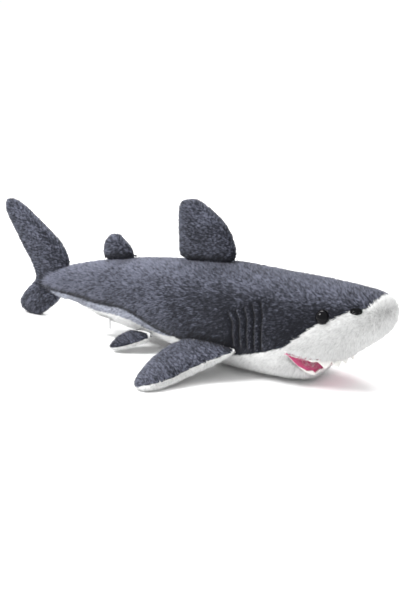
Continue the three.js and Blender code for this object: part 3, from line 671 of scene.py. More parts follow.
def pile_tree():
    """Geometry Nodes: tufts of pile on a skin, laid along its nap and clumped together."""
    found = bpy.data.node_groups.get("Plush pile")
    if found:
        return found
    tree, given, out = new_group(
        "Plush pile", "GeometryNodeTree",
        [("Geometry", "NodeSocketGeometry", None), ("Density", "NodeSocketFloat", 2e6),
         ("Length", "NodeSocketFloat", 0.004), ("Width", "NodeSocketFloat", 0.0007),
         ("Lay", "NodeSocketFloat", 0.7), ("Clump", "NodeSocketFloat", 0.5),
         ("Clump scale", "NodeSocketFloat", 270.0), ("Patch scale", "NodeSocketFloat", 34.0),
         ("Contrast", "NodeSocketFloat", 10.0), ("Seed", "NodeSocketInt", 1),
         ("Shade 1", "NodeSocketMaterial", None), ("Shade 2", "NodeSocketMaterial", None),
         ("Shade 3", "NodeSocketMaterial", None),
         ("Shade 4", "NodeSocketMaterial", None), ("Shade 5", "NodeSocketMaterial", None)],
        [("Geometry", "NodeSocketGeometry")])
    named = lambda name, kind: put(tree, "GeometryNodeInputNamedAttribute", {"Name": name},
                                   data_type=kind).outputs["Attribute"]
    maths = lambda mode, *values: put(tree, "ShaderNodeMath", dict(enumerate(values)),
                                      operation=mode).outputs[0]
    vectors = lambda mode, *values: put(tree, "ShaderNodeVectorMath", dict(enumerate(values)),
                                        operation=mode).outputs[0]
    scaled = lambda vector, by: put(tree, "ShaderNodeVectorMath", {0: vector, "Scale": by},
                                    operation="SCALE").outputs[0]
    spread = put(tree, "GeometryNodeDistributePointsOnFaces", {
        "Mesh": given["Geometry"], "Seed": given["Seed"],
        "Density": maths("MULTIPLY", given["Density"], named("pile", "FLOAT"))})
    place = put(tree, "GeometryNodeInputPosition").outputs[0]
    clump = put(tree, "ShaderNodeTexNoise", {"Vector": place, "Scale": given["Clump scale"],
                                             "Detail": 2.0}, noise_dimensions="3D")
    lean = scaled(vectors("SUBTRACT", clump.outputs["Color"], (0.5, 0.5, 0.5)), given["Clump"])
    stray = put(tree, "FunctionNodeRandomValue", {"Min": (-0.3,) * 3, "Max": (0.3,) * 3,
                                                  "Seed": 7}, data_type="FLOAT_VECTOR")
    nap = scaled(named("nap", "FLOAT_VECTOR"), given["Lay"])
    stand = vectors("ADD", spread.outputs["Normal"], nap)
    stand = vectors("ADD", vectors("ADD", stand, lean), stray.outputs[0])
    aim = put(tree, "FunctionNodeAlignRotationToVector", {"Vector": stand}, axis="Z")
    turn = put(tree, "FunctionNodeRandomValue", {2: 0.0, 3: 6.283, "Seed": 3},
               data_type="FLOAT")
    spin = put(tree, "FunctionNodeRotateRotation", {"Rotation": aim.outputs[0]},
               rotation_space="LOCAL")
    angle = put(tree, "FunctionNodeAxisAngleToRotation", {"Angle": turn.outputs[1]})
    tree.links.new(angle.outputs[0], spin.inputs["Rotate By"])
    patch = put(tree, "ShaderNodeTexNoise", {"Vector": place, "Scale": given["Patch scale"],
                                             "Detail": 2.5, "Roughness": 0.65})
    grain = put(tree, "ShaderNodeTexNoise", {"Vector": place, "Detail": 1.0,
                                             "Scale": maths("MULTIPLY", given["Clump scale"], 1.6)})
    chance = put(tree, "FunctionNodeRandomValue", {2: -0.5, 3: 0.5, "Seed": 11},
                 data_type="FLOAT")
    shade = maths("MULTIPLY_ADD", maths("SUBTRACT", patch.outputs["Fac"], 0.5),
                  PATCH_CONTRAST, MIDDLE_SHADE)
    shade = maths("MULTIPLY_ADD", maths("SUBTRACT", grain.outputs["Fac"], 0.5),
                  given["Contrast"], shade)
    shade = maths("MULTIPLY_ADD", chance.outputs[1], TUFT_CONTRAST, shade)
    # Painted light and shade: the tone mark moves each tuft to a lighter or darker shade.
    shade = maths("ADD", shade, named("tone", "FLOAT"))
    shade = maths("MINIMUM", maths("MAXIMUM", maths("ROUND", shade), 0.0), 4.0)
    keep_shade = put(tree, "GeometryNodeStoreNamedAttribute", {
        "Geometry": spread.outputs["Points"], "Name": "shade", "Value": shade},
        data_type="FLOAT", domain="POINT")
    keep_root = put(tree, "GeometryNodeStoreNamedAttribute", {
        "Geometry": keep_shade.outputs[0], "Name": "root", "Value": spread.outputs["Normal"]},
        data_type="FLOAT_VECTOR", domain="POINT")
    tuft = put(tree, "GeometryNodeMeshCone", {"Vertices": 3, "Radius Top": 0.0,
                                              "Radius Bottom": 0.5, "Depth": 1.0},
               fill_type="NONE")
    tall = put(tree, "FunctionNodeRandomValue", {2: 0.6, 3: 1.25, "Seed": 5}, data_type="FLOAT")
    high = maths("MULTIPLY", tall.outputs[1], given["Length"])
    high = maths("MULTIPLY", high, maths("MULTIPLY_ADD", clump.outputs["Fac"], 0.8, 0.6))
    high = maths("MULTIPLY", high, named("grow", "FLOAT"))
    size = put(tree, "ShaderNodeCombineXYZ", {"X": given["Width"], "Y": given["Width"],
                                              "Z": high}).outputs[0]
    grown = put(tree, "GeometryNodeInstanceOnPoints", {
        "Points": keep_root.outputs[0], "Instance": tuft.outputs["Mesh"],
        "Rotation": spin.outputs[0], "Scale": size})
    real = put(tree, "GeometryNodeRealizeInstances", {"Geometry": grown.outputs[0]}).outputs[0]
    for i in range(5):
        chosen = put(tree, "FunctionNodeCompare", {0: named("shade", "FLOAT"), 1: float(i),
                                                   "Epsilon": 0.3},
                     data_type="FLOAT", operation="EQUAL").outputs[0]
        real = put(tree, "GeometryNodeSetMaterial", {
            "Geometry": real, "Selection": chosen, "Material": given[f"Shade {i + 1}"]}).outputs[0]
    tree.links.new(real, out["Geometry"])
    return tree


MOST_TUFTS = 62000


def grow_pile(skin, name, tone, place, length=1.0, lay=0.8, clump=1.3, seed=1, density=1.0):
    """Grows the pile of a skin, in as many pieces as keep each one light."""
    s = sizes()
    mesh = skin.data
    area = np.zeros(len(mesh.polygons))
    mesh.polygons.foreach_get("area", area)
    thick = s.pile_density * 1e6 * density * 1
    parts = max(1, math.ceil(area.sum() * thick / MOST_TUFTS))
    centre = face_centres(mesh)
    spread = np.ptp(centre, axis=0)
    order = np.argsort(centre[:, int(spread.argmax())])
    share = np.cumsum(area[order]) / area.sum()
    number = np.zeros(len(order), int)
    number[order] = np.minimum((share * parts).astype(int), parts - 1)
    tree = pile_tree()
    shades = shades_of(tone)
    for k in range(parts):
        label = f"{name}_{k + 1}" if parts > 1 else name
        patch = split_off(skin, label, number == k) if parts > 1 else split_off(
            skin, label, np.ones(len(order), bool))
        forget(patch.data, "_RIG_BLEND")
        patch.data.materials.clear()
        values = {"Density": thick, "Length": s.pile_length * length, "Width": s.pile_width,
                  "Lay": lay, "Clump": clump, "Contrast": 7.0 if tone == "white" else 11.0,
                  "Seed": seed * 10 + k}
        for i, shade in enumerate(shades):
            values[f"Shade {i + 1}"] = shade
        grown = run_nodes(patch, "Pile", tree, values)
        take_mesh(patch, grown, label)
        root = np.zeros(len(grown.vertices) * 3, np.float32)
        grown.attributes["root"].data.foreach_get("vector", root)
        root = root.reshape(-1, 3)
        smooth_shaded(grown)
        own = normals(grown)
        mixed = root * 0.55 + own * 0.55
        mixed /= np.maximum(np.linalg.norm(mixed, axis=1), 1e-6)[:, None]
        forget(grown, "root", "shade", *MARKS, "UVMap")
        grown.normals_split_custom_set_from_vertices([tuple(n) for n in mixed])
        place(patch)


def plush_marks(mesh, nap, pile=None, grow=None, tone=None):
    """Stores what the pile needs to know at each point of a skin."""
    count = len(mesh.vertices)
    n = normals(mesh)
    nap = np.broadcast_to(np.asarray(nap, float), (count, 3))
    nap = nap - n * (nap * n).sum(1)[:, None]
    nap = nap / np.maximum(np.linalg.norm(nap, axis=1), 0.2)[:, None]
    give(mesh, "nap", "FLOAT_VECTOR", nap)
    give(mesh, "pile", "FLOAT", np.ones(count) if pile is None else pile)
    give(mesh, "grow", "FLOAT", np.ones(count) if grow is None else grow)
    give(mesh, "tone", "FLOAT", np.zeros(count) if tone is None else tone)


# ---- Body -----------------------------------------------------------------------------

def gill_curve(i, side, count=24, sink=0.0):
    x, top = GILLS[i]
    places = []
    for share in np.linspace(0, 1, count):
        z = GILL_FOOT + (top - GILL_FOOT) * share
        lean = -5.5 * max(0, (share - 0.7) / 0.3) ** 1.5 - 1.2 * share
        point, out = on_side(x + lean, z, side)
        places.append(point - out * sink)
    return np.array(places)


def seam_curve(side, start, end, count=160):
    x = np.linspace(start, end, count)
    z = np.minimum(seam_line(x), section(x)[1])
    y = side * side_at(x, z)
    return np.stack([x, y, z], 1)


BODY_AROUND = 72


def body_form(inset):
    """The whole body as one closed form with its open mouth, evenly meshed, in metres."""
    stations = np.r_[np.linspace(TAIL_END + inset, NOSE - inset - NOSE_ROUND, 116)[:-1],
                     NOSE - inset - NOSE_ROUND
                     + NOSE_ROUND * np.sin(np.linspace(0, math.pi / 2 * 0.985, 14))]
    turn = 2 * math.pi * (np.arange(BODY_AROUND) + 0.5) / BODY_AROUND
    rings = []
    for x in stations:
        half, back, belly, widest = (float(v) for v in section(x, inset))
        reach = np.where(np.sin(turn) > 0, back - widest, widest - belly)
        y = half * power(np.cos(turn))
        z = np.maximum(widest + reach * power(np.sin(turn)), inset * 0.5)
        rings.append(np.stack([np.full(BODY_AROUND, x), y, z], 1) * MM)
    form = new_object("body_form", *ringed(rings))
    outward(form.data)
    cx, cz = CORNER
    outline = [(cx - 3.5, cz - 0.5), (cx - 2.5, cz + 1.8), (cx + 3, upper_lip(cx + 3) + 1.2),
               (NOSE + 30, upper_lip(NOSE + 30)), (NOSE + 30, -60),
               (cx + (cz + 60) / -JAW_SLOPE, -60)]
    verts = [(x * MM, y * MM, z * MM) for y in (-90, 90) for x, z in outline]
    count = len(outline)
    faces = [tuple(range(count)), tuple(range(count, 2 * count))[::-1]]
    faces += [(i, i + count, (i + 1) % count + count, (i + 1) % count) for i in range(count)]
    wedge = new_object("mouth_wedge", verts, faces)
    outward(wedge.data)
    with_modifier(form, "BOOLEAN", operation="DIFFERENCE", object=wedge, solver="EXACT")
    bpy.data.objects.remove(wedge)
    with_modifier(form, "REMESH", mode="VOXEL", voxel_size=0.004, adaptivity=0)
    soften(form.data, 2)
    return form


def body_held(co):
    """Where seams, tucks and lips hold the cloth while it is filled, and where it lies on the floor and ends
    at the tail.
    """
    held = np.zeros(len(co))
    for side in (-1, 1):
        held = np.maximum(held, falloff(co, seam_curve(side, -205, 238) * MM, 0.004))
        for i in range(5):
            held = np.maximum(held, falloff(co, gill_curve(i, side) * MM, 0.004))
    x, y, z = (co / MM).T
    inside = side_at(x, z) - np.abs(y) > 3.5
    lips = inside & (x > CORNER[0] - 6) & (z < upper_lip(x) + 4) & (z > jaw_top(x) - 6)
    held[lips] = 1
    near_lip = np.abs(z - upper_lip(x)) < 6
    near_jaw = np.abs(z - jaw_top(x)) < 6
    held[(x > CORNER[0] - 4) & (near_lip | near_jaw)] = 1
    held[z < 2.5] = 1
    held[x < -185] = 1
    return np.clip(held, 0, 1)


def finer_gills(mesh):
    """Halves the faces round the gill tucks, so that the tucks can be sharp."""
    work = bmesh.new()
    work.from_mesh(mesh)
    low, high = GILLS[0][0] - 13, GILLS[-1][0] + 9
    top = GILLS[-1][1] + 6
    wanted = [e for e in work.edges if all(
        low < v.co.x / MM < high and GILL_FOOT - 9 < v.co.z / MM < top for v in e.verts)]
    bmesh.ops.subdivide_edges(work, edges=wanted, cuts=1, use_grid_fill=True)
    bmesh.ops.triangulate(work, faces=[f for f in work.faces if len(f.verts) > 4])
    work.to_mesh(mesh)
    work.free()


def mouth_inside(co):
    """Which points lie on the inside faces of the mouth."""
    x, y, z = (co / MM).T
    reach = side_at(x, z) - np.abs(y)
    upper = (np.abs(z - upper_lip(x)) < 2.6) & (x > CORNER[0] + 2)
    lower = (np.abs(z - jaw_top(x)) < 2.8) & (x > CORNER[0] + 2)
    deep = (np.abs(x - CORNER[0]) < 3.5) & (np.abs(z - CORNER[1]) < 3.5)
    above_belly = z > belly_line(x) + 2.2
    return (upper | lower | deep) & (reach > 2.5) & above_belly


class PLUSH_OT_body(bpy.types.Operator):
    """Makes the stuffed skins of the body, from the nose to the tail's end, and their pile"""
    bl_idname = "plush.body"
    bl_label = "Body skins"

    def execute(self, context):
        s = sizes()
        form = body_form(2.2)
        stuff(form, body_held(coords(form.data)), s.swell)
        with_modifier(form, "SUBSURF", levels=1, render_levels=1)
        finer_gills(form.data)
        co = coords(form.data)
        n = normals(form.data)
        x, _, z = (co / MM).T
        dent = np.zeros(len(co))
        pile = np.ones(len(co))
        tone = np.zeros(len(co))
        grow = np.ones(len(co))
        near_gills = np.zeros(len(co))
        for side in (-1, 1):
            line = seam_curve(side, -203, 236) * MM
            rear = 1 / (1 + np.exp((x - 60) / 20))
            sewn = falloff(co, line, SEAM_REACH)
            dent += sewn * s.seam_depth * (0.35 + 0.9 * rear)
            shadow = falloff(co, line + np.array((0, 0, SHADOW_RISE)), SHADOW_REACH)
            tone -= shadow * 7 * rear * (z > seam_line(x) - 1)
            grow *= 1 - 0.5 * sewn * rear
            # Painted shade along the crease where each pectoral and pelvic fin meets the body, besides its
            # dent.
            for fin in (FINS["pectoral_fin"], FINS["pelvic_fin"]):
                root = np.array(fin["at"]) + np.linspace(0.04, 0.98, 40)[:, None] * np.array(
                    fin["along"]) * fin["chord"]
                crease = falloff(co, root * np.array((1, side, 1)) * MM, CREASE_REACH)
                tone -= crease * 3 * (z > seam_line(x) - 1.5)
                dent += crease * CREASE_DEPTH
            for i in range(5):
                tuck = gill_curve(i, side, 60) * MM
                groove = falloff(co, tuck, GROOVE_REACH)
                ridge = falloff(co, tuck + np.array((RIDGE_BEHIND, 0, 0)), GROOVE_REACH)
                near_gills = np.maximum(near_gills, falloff(co, tuck, CREASE_REACH))
                dent += groove * s.gill_depth - ridge * RIDGE_HEIGHT
                pile *= 1 - np.clip(groove * 3 - 1.1, 0, 1)
                # Painted shade in each gill groove, and a painted highlight on the ridge behind it.
                tone += ridge * 2.4 - groove * 6
            eye, _ = on_side(*EYE, side)
            from_eye = ((co - np.array(eye) * MM) ** 2).sum(1)
            near = np.exp(-from_eye / SOCKET_REACH ** 2)
            dent += near * SOCKET_DEPTH
            # Painted shade in the dent of the eye's socket.
            tone -= near * 3
            pile *= 1 - np.clip(np.exp(-from_eye / BARE_ROUND_EYE ** 2) * 3 - 0.9, 0, 1)
        co = co - n * dent[:, None]
        inner = mouth_inside(coords(form.data))
        pile[inner] = 0
        co[:, 2] = np.maximum(co[:, 2], ABOVE_FLOOR)
        set_coords(form.data, co)
        smooth_shaded(form.data)
        x, _, z = (co / MM).T
        down = np.clip(1 - z / 5, 0, 1)
        grow *= 1 - 0.75 * down * (n[:, 2] < -0.5)
        head = 1 / (1 + np.exp(-(x - 150) / 14))
        below = z < seam_line(x)
        grow *= np.where(below, 0.9 + 0.25 * head, 1)
        # Painted light and shade on the grey pile: lighter where it faces up and towards the tail, darker on
        # the sides of the head and shoulders. The white pile below the seam is a step lighter all over.
        flank = 1 - np.clip((n[:, 2] - 0.3) * 2, 0, 1)
        forward = np.clip((x + 20) / 100, 0, 1)
        back = np.clip(-(x + 60) / 110, 0, 1)
        tone += np.where(below, 0.3, np.clip((n[:, 2] - 0.5) * 1.4, 0, 0.6)
                         + 0.3 + 0.8 * back - (0.95 + 1.55 * flank) * forward)
        grow *= 1 - 0.68 * near_gills
        nap = np.stack([-1 + 0.85 * near_gills, 0 * x, -0.35 - 0.65 * near_gills], 1)
        plush_marks(form.data, nap, pile, grow, tone)
        self.split(form)
        bpy.data.objects.remove(form)
        return {"FINISHED"}

    def split(self, form):
        centre = face_centres(form.data) / MM
        x, _, z = centre.T
        white = (z < seam_line(x)) & (x > WHITE_ENDS)
        pull = (x - CORNER[0]) * JAW_TURN[0] + (z - CORNER[1]) * JAW_TURN[1]
        jaw = (pull > 0) & (z < np.minimum(jaw_top(x) + 2.4, CORNER[1])) & (x > 120)
        front = (x > FRONT_CUT) & ~jaw
        rear = (x <= FRONT_CUT) & (x > STOCK_CUT)
        stock = x <= STOCK_CUT
        waist = ("trunk", "rear_body", *bend_ends(WAIST))
        tail = ("rear_body", "tail_stock", *bend_ends(TAIL))
        fork = ("tail_stock", "caudal_fin", *bend_ends(FORK))
        hinge, turn = jaw_bend()
        mouth = ("trunk", "jaw", hinge, hinge + turn)
        snout = white & (x > CORNER[0] - 10)
        plan = [
            ("back_skin_front", "grey", front & ~white, waist,
             ("back_panel_left", "back_panel_right", "trunk_filling"), 1),
            ("belly_skin_front", "white", front & white & ~snout, waist, ("belly_panel",), 2),
            ("snout_skin", "white", front & snout, waist, ("snout_panel",), 3),
            ("jaw_skin", "white", jaw, mouth, ("jaw_panel", "jaw_filling"), 4),
            ("back_skin_rear", "grey", rear & ~white, tail,
             ("rear_back_panel_left", "rear_back_panel_right", "rear_filling"), 5),
            ("belly_skin_rear", "white", rear & white, tail, ("rear_belly_panel",), 6),
            ("tail_skin", "grey", stock & ~white, fork,
             ("tail_back_panel_left", "tail_back_panel_right", "tail_filling"), 7),
            ("tail_belly_skin", "white", stock & white, fork, ("tail_belly_panel",), 8),
        ]
        for name, tone, chosen, bend, stands_for, seed in plan:
            skin = split_off(form, name, chosen)
            dress(skin, backing_of(tone))
            place = lambda piece, bend=bend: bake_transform(piece, bend[0], bend[1], bend[2], bend[3])
            fluffy = name in ("snout_skin", "jaw_skin")
            length = 1.05 if tone == "white" else 1.0
            x, _, z = (face_centres(skin.data) / MM).T
            # Painted shade: the band of white belly cloth under the rear side seam gets the bluish light
            # grey pile and backing.
            wide = BAND * np.clip((15 - x) / 40, 0, 1) * np.clip((x + 205) / 50, 0.3, 1)
            band = (z > seam_line(x) - wide) & (tone == "white")
            grown = skin
            if band.any():
                skin.data.materials.append(backing_of("pale"))
                skin.data.polygons.foreach_set("material_index", band.astype(np.int32))
                strip = split_off(skin, name + "_strip", band)
                grow_pile(strip, name.replace("skin", "band_pile"), "pale", place,
                          length=0.8, lay=0.9, clump=1.2, seed=seed + 60)
                bpy.data.objects.remove(strip)
                grown = split_off(skin, name + "_rest", ~band)
            grow_pile(grown, name.replace("skin", "pile"), tone, place, seed=seed, length=length,
                      lay=0.55 if fluffy else 0.7, clump=1.8 if fluffy else 1.4)
            if grown != skin:
                bpy.data.objects.remove(grown)
            forget(skin.data, *MARKS)
            place(skin)
            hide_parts(*stands_for)


# ---- Fins -----------------------------------------------------------------------------

FINS = {
    "dorsal_fin": dict(
        at=(-3.0, 0, 99.98), along=(0.99512, 0, 0.09864), span=62.0, chord=70.0, half=10.5,
        out=(-0.0986, 0, 0.9951), sag=0.0,
        rows=[(0, 0, 1, 0.5), (0.12, 0, 0.98, 0.86), (0.25, 0.015, 0.96, 0.96),
              (0.5, 0.035, 0.87, 1), (0.72, 0.055, 0.7, 0.9), (0.9, 0.085, 0.48, 0.72),
              (0.98, 0.15, 0.36, 0.5), (1, 0.2, 0.3, 0.3)]),
    "second_dorsal_fin": dict(
        at=(-108.0, 0, 82.54), along=(0.98076, 0, 0.1952), span=26.0, chord=46.0, half=6.5,
        out=(-0.1952, 0, 0.98076), sag=0.0,
        rows=[(0, 0, 1, 0.6), (0.3, 0.07, 0.86, 0.95), (0.6, 0.15, 0.72, 1),
              (0.85, 0.27, 0.6, 0.8), (1, 0.4, 0.5, 0.4)]),
    "pectoral_fin": dict(
        at=(40.0, 50.17, 31.2), along=(0.99907, 0.04321, 0), span=90.0, chord=65.0, half=9.0,
        out=(-0.0412, 0.9527, -0.301), sag=5.0,
        rows=[(0, 0, 1, 0.5), (0.2, -0.16, 0.78, 0.85), (0.42, -0.22, 0.56, 1),
              (0.7, -0.16, 0.42, 0.85), (0.9, -0.05, 0.3, 0.6), (0.98, 0.04, 0.2, 0.4),
              (1, 0.09, 0.15, 0.25)]),
    "pelvic_fin": dict(
        at=(-45.0, 30.75, 19.76), along=(0.9853, 0.17081, 0), span=33.0, chord=32.0, half=5.0,
        out=(-0.1517, 0.8752, -0.4593), sag=0.0,
        rows=[(0, 0, 1, 0.6), (0.3, -0.12, 0.82, 1), (0.6, -0.2, 0.5, 0.95),
              (0.85, -0.2, 0.2, 0.7), (1, -0.16, 0, 0.4)]),
}


EDGE_INSET = -0.7
TOP_INSET = 1.2
FIN_INSET = 1.4
ROOT_TUCK = 5.0
ROOT_TRIM = 5.0
FIN_AROUND = 40
FIN_PRESSURE = 5.0
LARGE_FIN = 50


def fin_form(name, fin, inset, voxel):
    """A fin lying flat: root along X, span along Y, thickness along Z, in metres."""
    rows = np.array(fin["rows"], float)
    lines = [smooth_line(list(zip(rows[:, 0], rows[:, k])), fin["span"], 1) for k in (1, 2, 3)]
    turn = 2 * math.pi * np.arange(FIN_AROUND) / FIN_AROUND
    rings = []
    for height in np.r_[-ROOT_TUCK, -ROOT_TUCK / 2, (fin["span"] - TOP_INSET)
                        * (1 - (1 - np.linspace(0, 1, 34)) ** 1.4)]:
        place = max(height, 0)
        rear = float(lines[0](place)) * fin["chord"] + EDGE_INSET
        front = float(lines[1](place)) * fin["chord"] - EDGE_INSET
        half = max(float(lines[2](place)) * fin["half"] - inset, 0.4)
        trim = ROOT_TRIM if height < 0 else 0
        across = (rear + front) / 2 + (front - rear - 2 * trim) / 2 * power(np.cos(turn))
        rings.append(np.stack([across, np.full(FIN_AROUND, height),
                               half * np.sin(turn) * (0.9 if height < 0 else 1)], 1) * MM)
    form = new_object(name + "_form", *ringed(rings))
    outward(form.data)
    with_modifier(form, "REMESH", mode="VOXEL", voxel_size=voxel, adaptivity=0)
    soften(form.data, 1)
    return form, lines


def fin_edge(fin, lines):
    """The seam round the fin's outline."""
    y = np.linspace(0, fin["span"] - TOP_INSET, 60)
    rear = lines[0](y) * fin["chord"] + EDGE_INSET
    front = lines[1](y) * fin["chord"] - EDGE_INSET
    tip = np.linspace(rear[-1], front[-1], 12)
    flat = np.r_[np.stack([rear, y], 1), np.stack([tip, np.full(12, y[-1])], 1),
                 np.stack([front, y], 1)]
    return np.c_[flat, np.zeros(len(flat))] * MM


def seat(fin, side):
    """The matrix from the flat fin to its place on the body."""
    mirror = Vector((1, side, 1))
    along = Vector(fin["along"])
    out = Vector(fin["out"])
    at = Vector(fin["at"]) * MM
    for v in (along, out, at):
        for k in range(3):
            v[k] *= mirror[k]
    along.normalize()
    out = (out - along * out.dot(along)).normalized()
    through = along.cross(out)
    place = Matrix((along, out, through)).transposed().to_4x4()
    place.translation = at
    return place, along, out


class PLUSH_OT_fins(bpy.types.Operator):
    """Makes the stuffed back fins, pectoral fins and pelvic fins, and their pile"""
    bl_idname = "plush.fins"
    bl_label = "Fins"

    def execute(self, context):
        for number, (name, fin) in enumerate(FINS.items()):
            pair = fin["at"][1] != 0
            large = fin["span"] > LARGE_FIN
            form, lines = fin_form(name, fin, FIN_INSET, 0.003 if large else 0.0022)
            edge = fin_edge(fin, lines)
            co = coords(form.data)
            held = falloff(co, edge, 0.003)
            held[co[:, 1] < 0.001] = 1
            stuff(form, np.clip(held, 0, 1), 0.0026 if large else 0.0015, FIN_PRESSURE)
            with_modifier(form, "SUBSURF", levels=1, render_levels=1)
            co, n = coords(form.data), normals(form.data)
            ditch = falloff(co, edge, 0.0018)
            root = np.exp(-(np.maximum(co[:, 1], 0) / 0.004) ** 2)
            shift = ditch * 0.0006 + root * 0.0012
            co -= n * shift[:, None]
            share = np.clip(co[:, 1] / (fin["span"] * MM), 0, 1)
            rear, front = (line(share * fin["span"]) * fin["chord"] * MM for line in lines[:2])
            leading = np.clip(((co[:, 0] - rear) / (front - rear + 1e-4) - 0.45) * 3, 0, 1)
            leading *= np.clip((share - 0.03) * 5, 0, 1)
            sag = fin["sag"] * MM * np.sin(math.pi * share)
            set_coords(form.data, co)
            for side in ((1, -1) if pair else (0,)):
                place, along, out = seat(fin, side if pair else 1)
                piece = bpy.data.objects.new(name, form.data.copy())
                bpy.context.scene.collection.objects.link(piece)
                local = coords(piece.data)
                up = 1 if not pair or side > 0 else -1
                local[:, 2] -= sag * up
                thick = local[:, 2] * up + sag
                thick = thick - leading * MM * (2.0 if large else 0.4)
                turned = np.array(place)
                world = local @ turned[:3, :3].T + turned[:3, 3]
                world[:, 2] = np.maximum(world[:, 2], ABOVE_FLOOR)
                set_coords(piece.data, world)
                smooth_shaded(piece.data)
                if pair and side < 0:
                    outward(piece.data)
                nap = np.array(out) * 0.55 - np.array(along)
                # Painted shade at the fin's root, where it meets the body.
                tone = -3.2 * root + 0.7 * ditch + TONES[name]
                pile = 1 - 0.95 * (co[:, 1] < 0.0005)
                grow = 0.9 - 0.5 * root * (thick < 0.001)
                plush_marks(piece.data, nap, pile, grow, tone)
                self.cover(piece, name, side, number, thick, place, out, pair)
                bpy.data.objects.remove(piece)
            bpy.data.objects.remove(form)
        return {"FINISHED"}

    def cover(self, piece, name, side, number, thick, place, out, pair):
        body = {"dorsal_fin": "trunk", "second_dorsal_fin": "rear_body",
                "pectoral_fin": "trunk", "pelvic_fin": "rear_body"}[name]
        label = name if not pair else f"{name}_{'left' if side > 0 else 'right'}"
        start = place.translation - out * 0.002
        bend = lambda p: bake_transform(p, body, label, start, start + out * 0.01)
        loops = [np.array(f.vertices) for f in piece.data.polygons]
        level = np.array([thick[v].mean() for v in loops])
        if pair:
            plan = [(f"{label}_top_skin", "grey", level > 0.0003,
                     (f"{label}_top", f"{label}_filling")),
                    (f"{label}_underside_skin", "white", level <= 0.0003,
                     (f"{label}_underside",))]
        else:
            plan = [(f"{label}_skin", "grey", level > -1,
                     (f"{label}_skin_left", f"{label}_skin_right", f"{label}_filling"))]
        for k, (title, tone, chosen, stands_for) in enumerate(plan):
            skin = split_off(piece, title + "_cloth" if not pair else title, chosen)
            dress(skin, backing_of(tone))
            grow_pile(skin, title.replace("skin", "pile"), tone, bend, length=0.9, lay=0.7,
                      seed=20 + number * 4 + k + (2 if side < 0 else 0), density=1.1)
            forget(skin.data, *MARKS)
            bend(skin)
            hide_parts(*stands_for)


TONES = {"dorsal_fin": -0.5, "second_dorsal_fin": -0.3, "pectoral_fin": 0.1, "pelvic_fin": -1.0}

CAUDAL_HEIGHT = 131.0
CAUDAL_ROWS = [
    (0.004, -0.44, -0.41, 0.3), (0.04, -0.46, -0.396, 0.55), (0.09, -0.464, -0.38, 0.72),
    (0.16, -0.454, -0.358, 0.8), (0.24, -0.434, -0.34, 0.68), (0.31, -0.418, -0.33, 0.5),
    (0.42, -0.42, -0.323, 0.5), (0.52, -0.433, -0.32, 0.72), (0.6, -0.448, -0.328, 0.85),
    (0.7, -0.465, -0.35, 0.8), (0.8, -0.483, -0.386, 0.72), (0.9, -0.499, -0.426, 0.62),
    (0.95, -0.5, -0.446, 0.52), (0.985, -0.497, -0.466, 0.4), (1, -0.489, -0.478, 0.2),
]


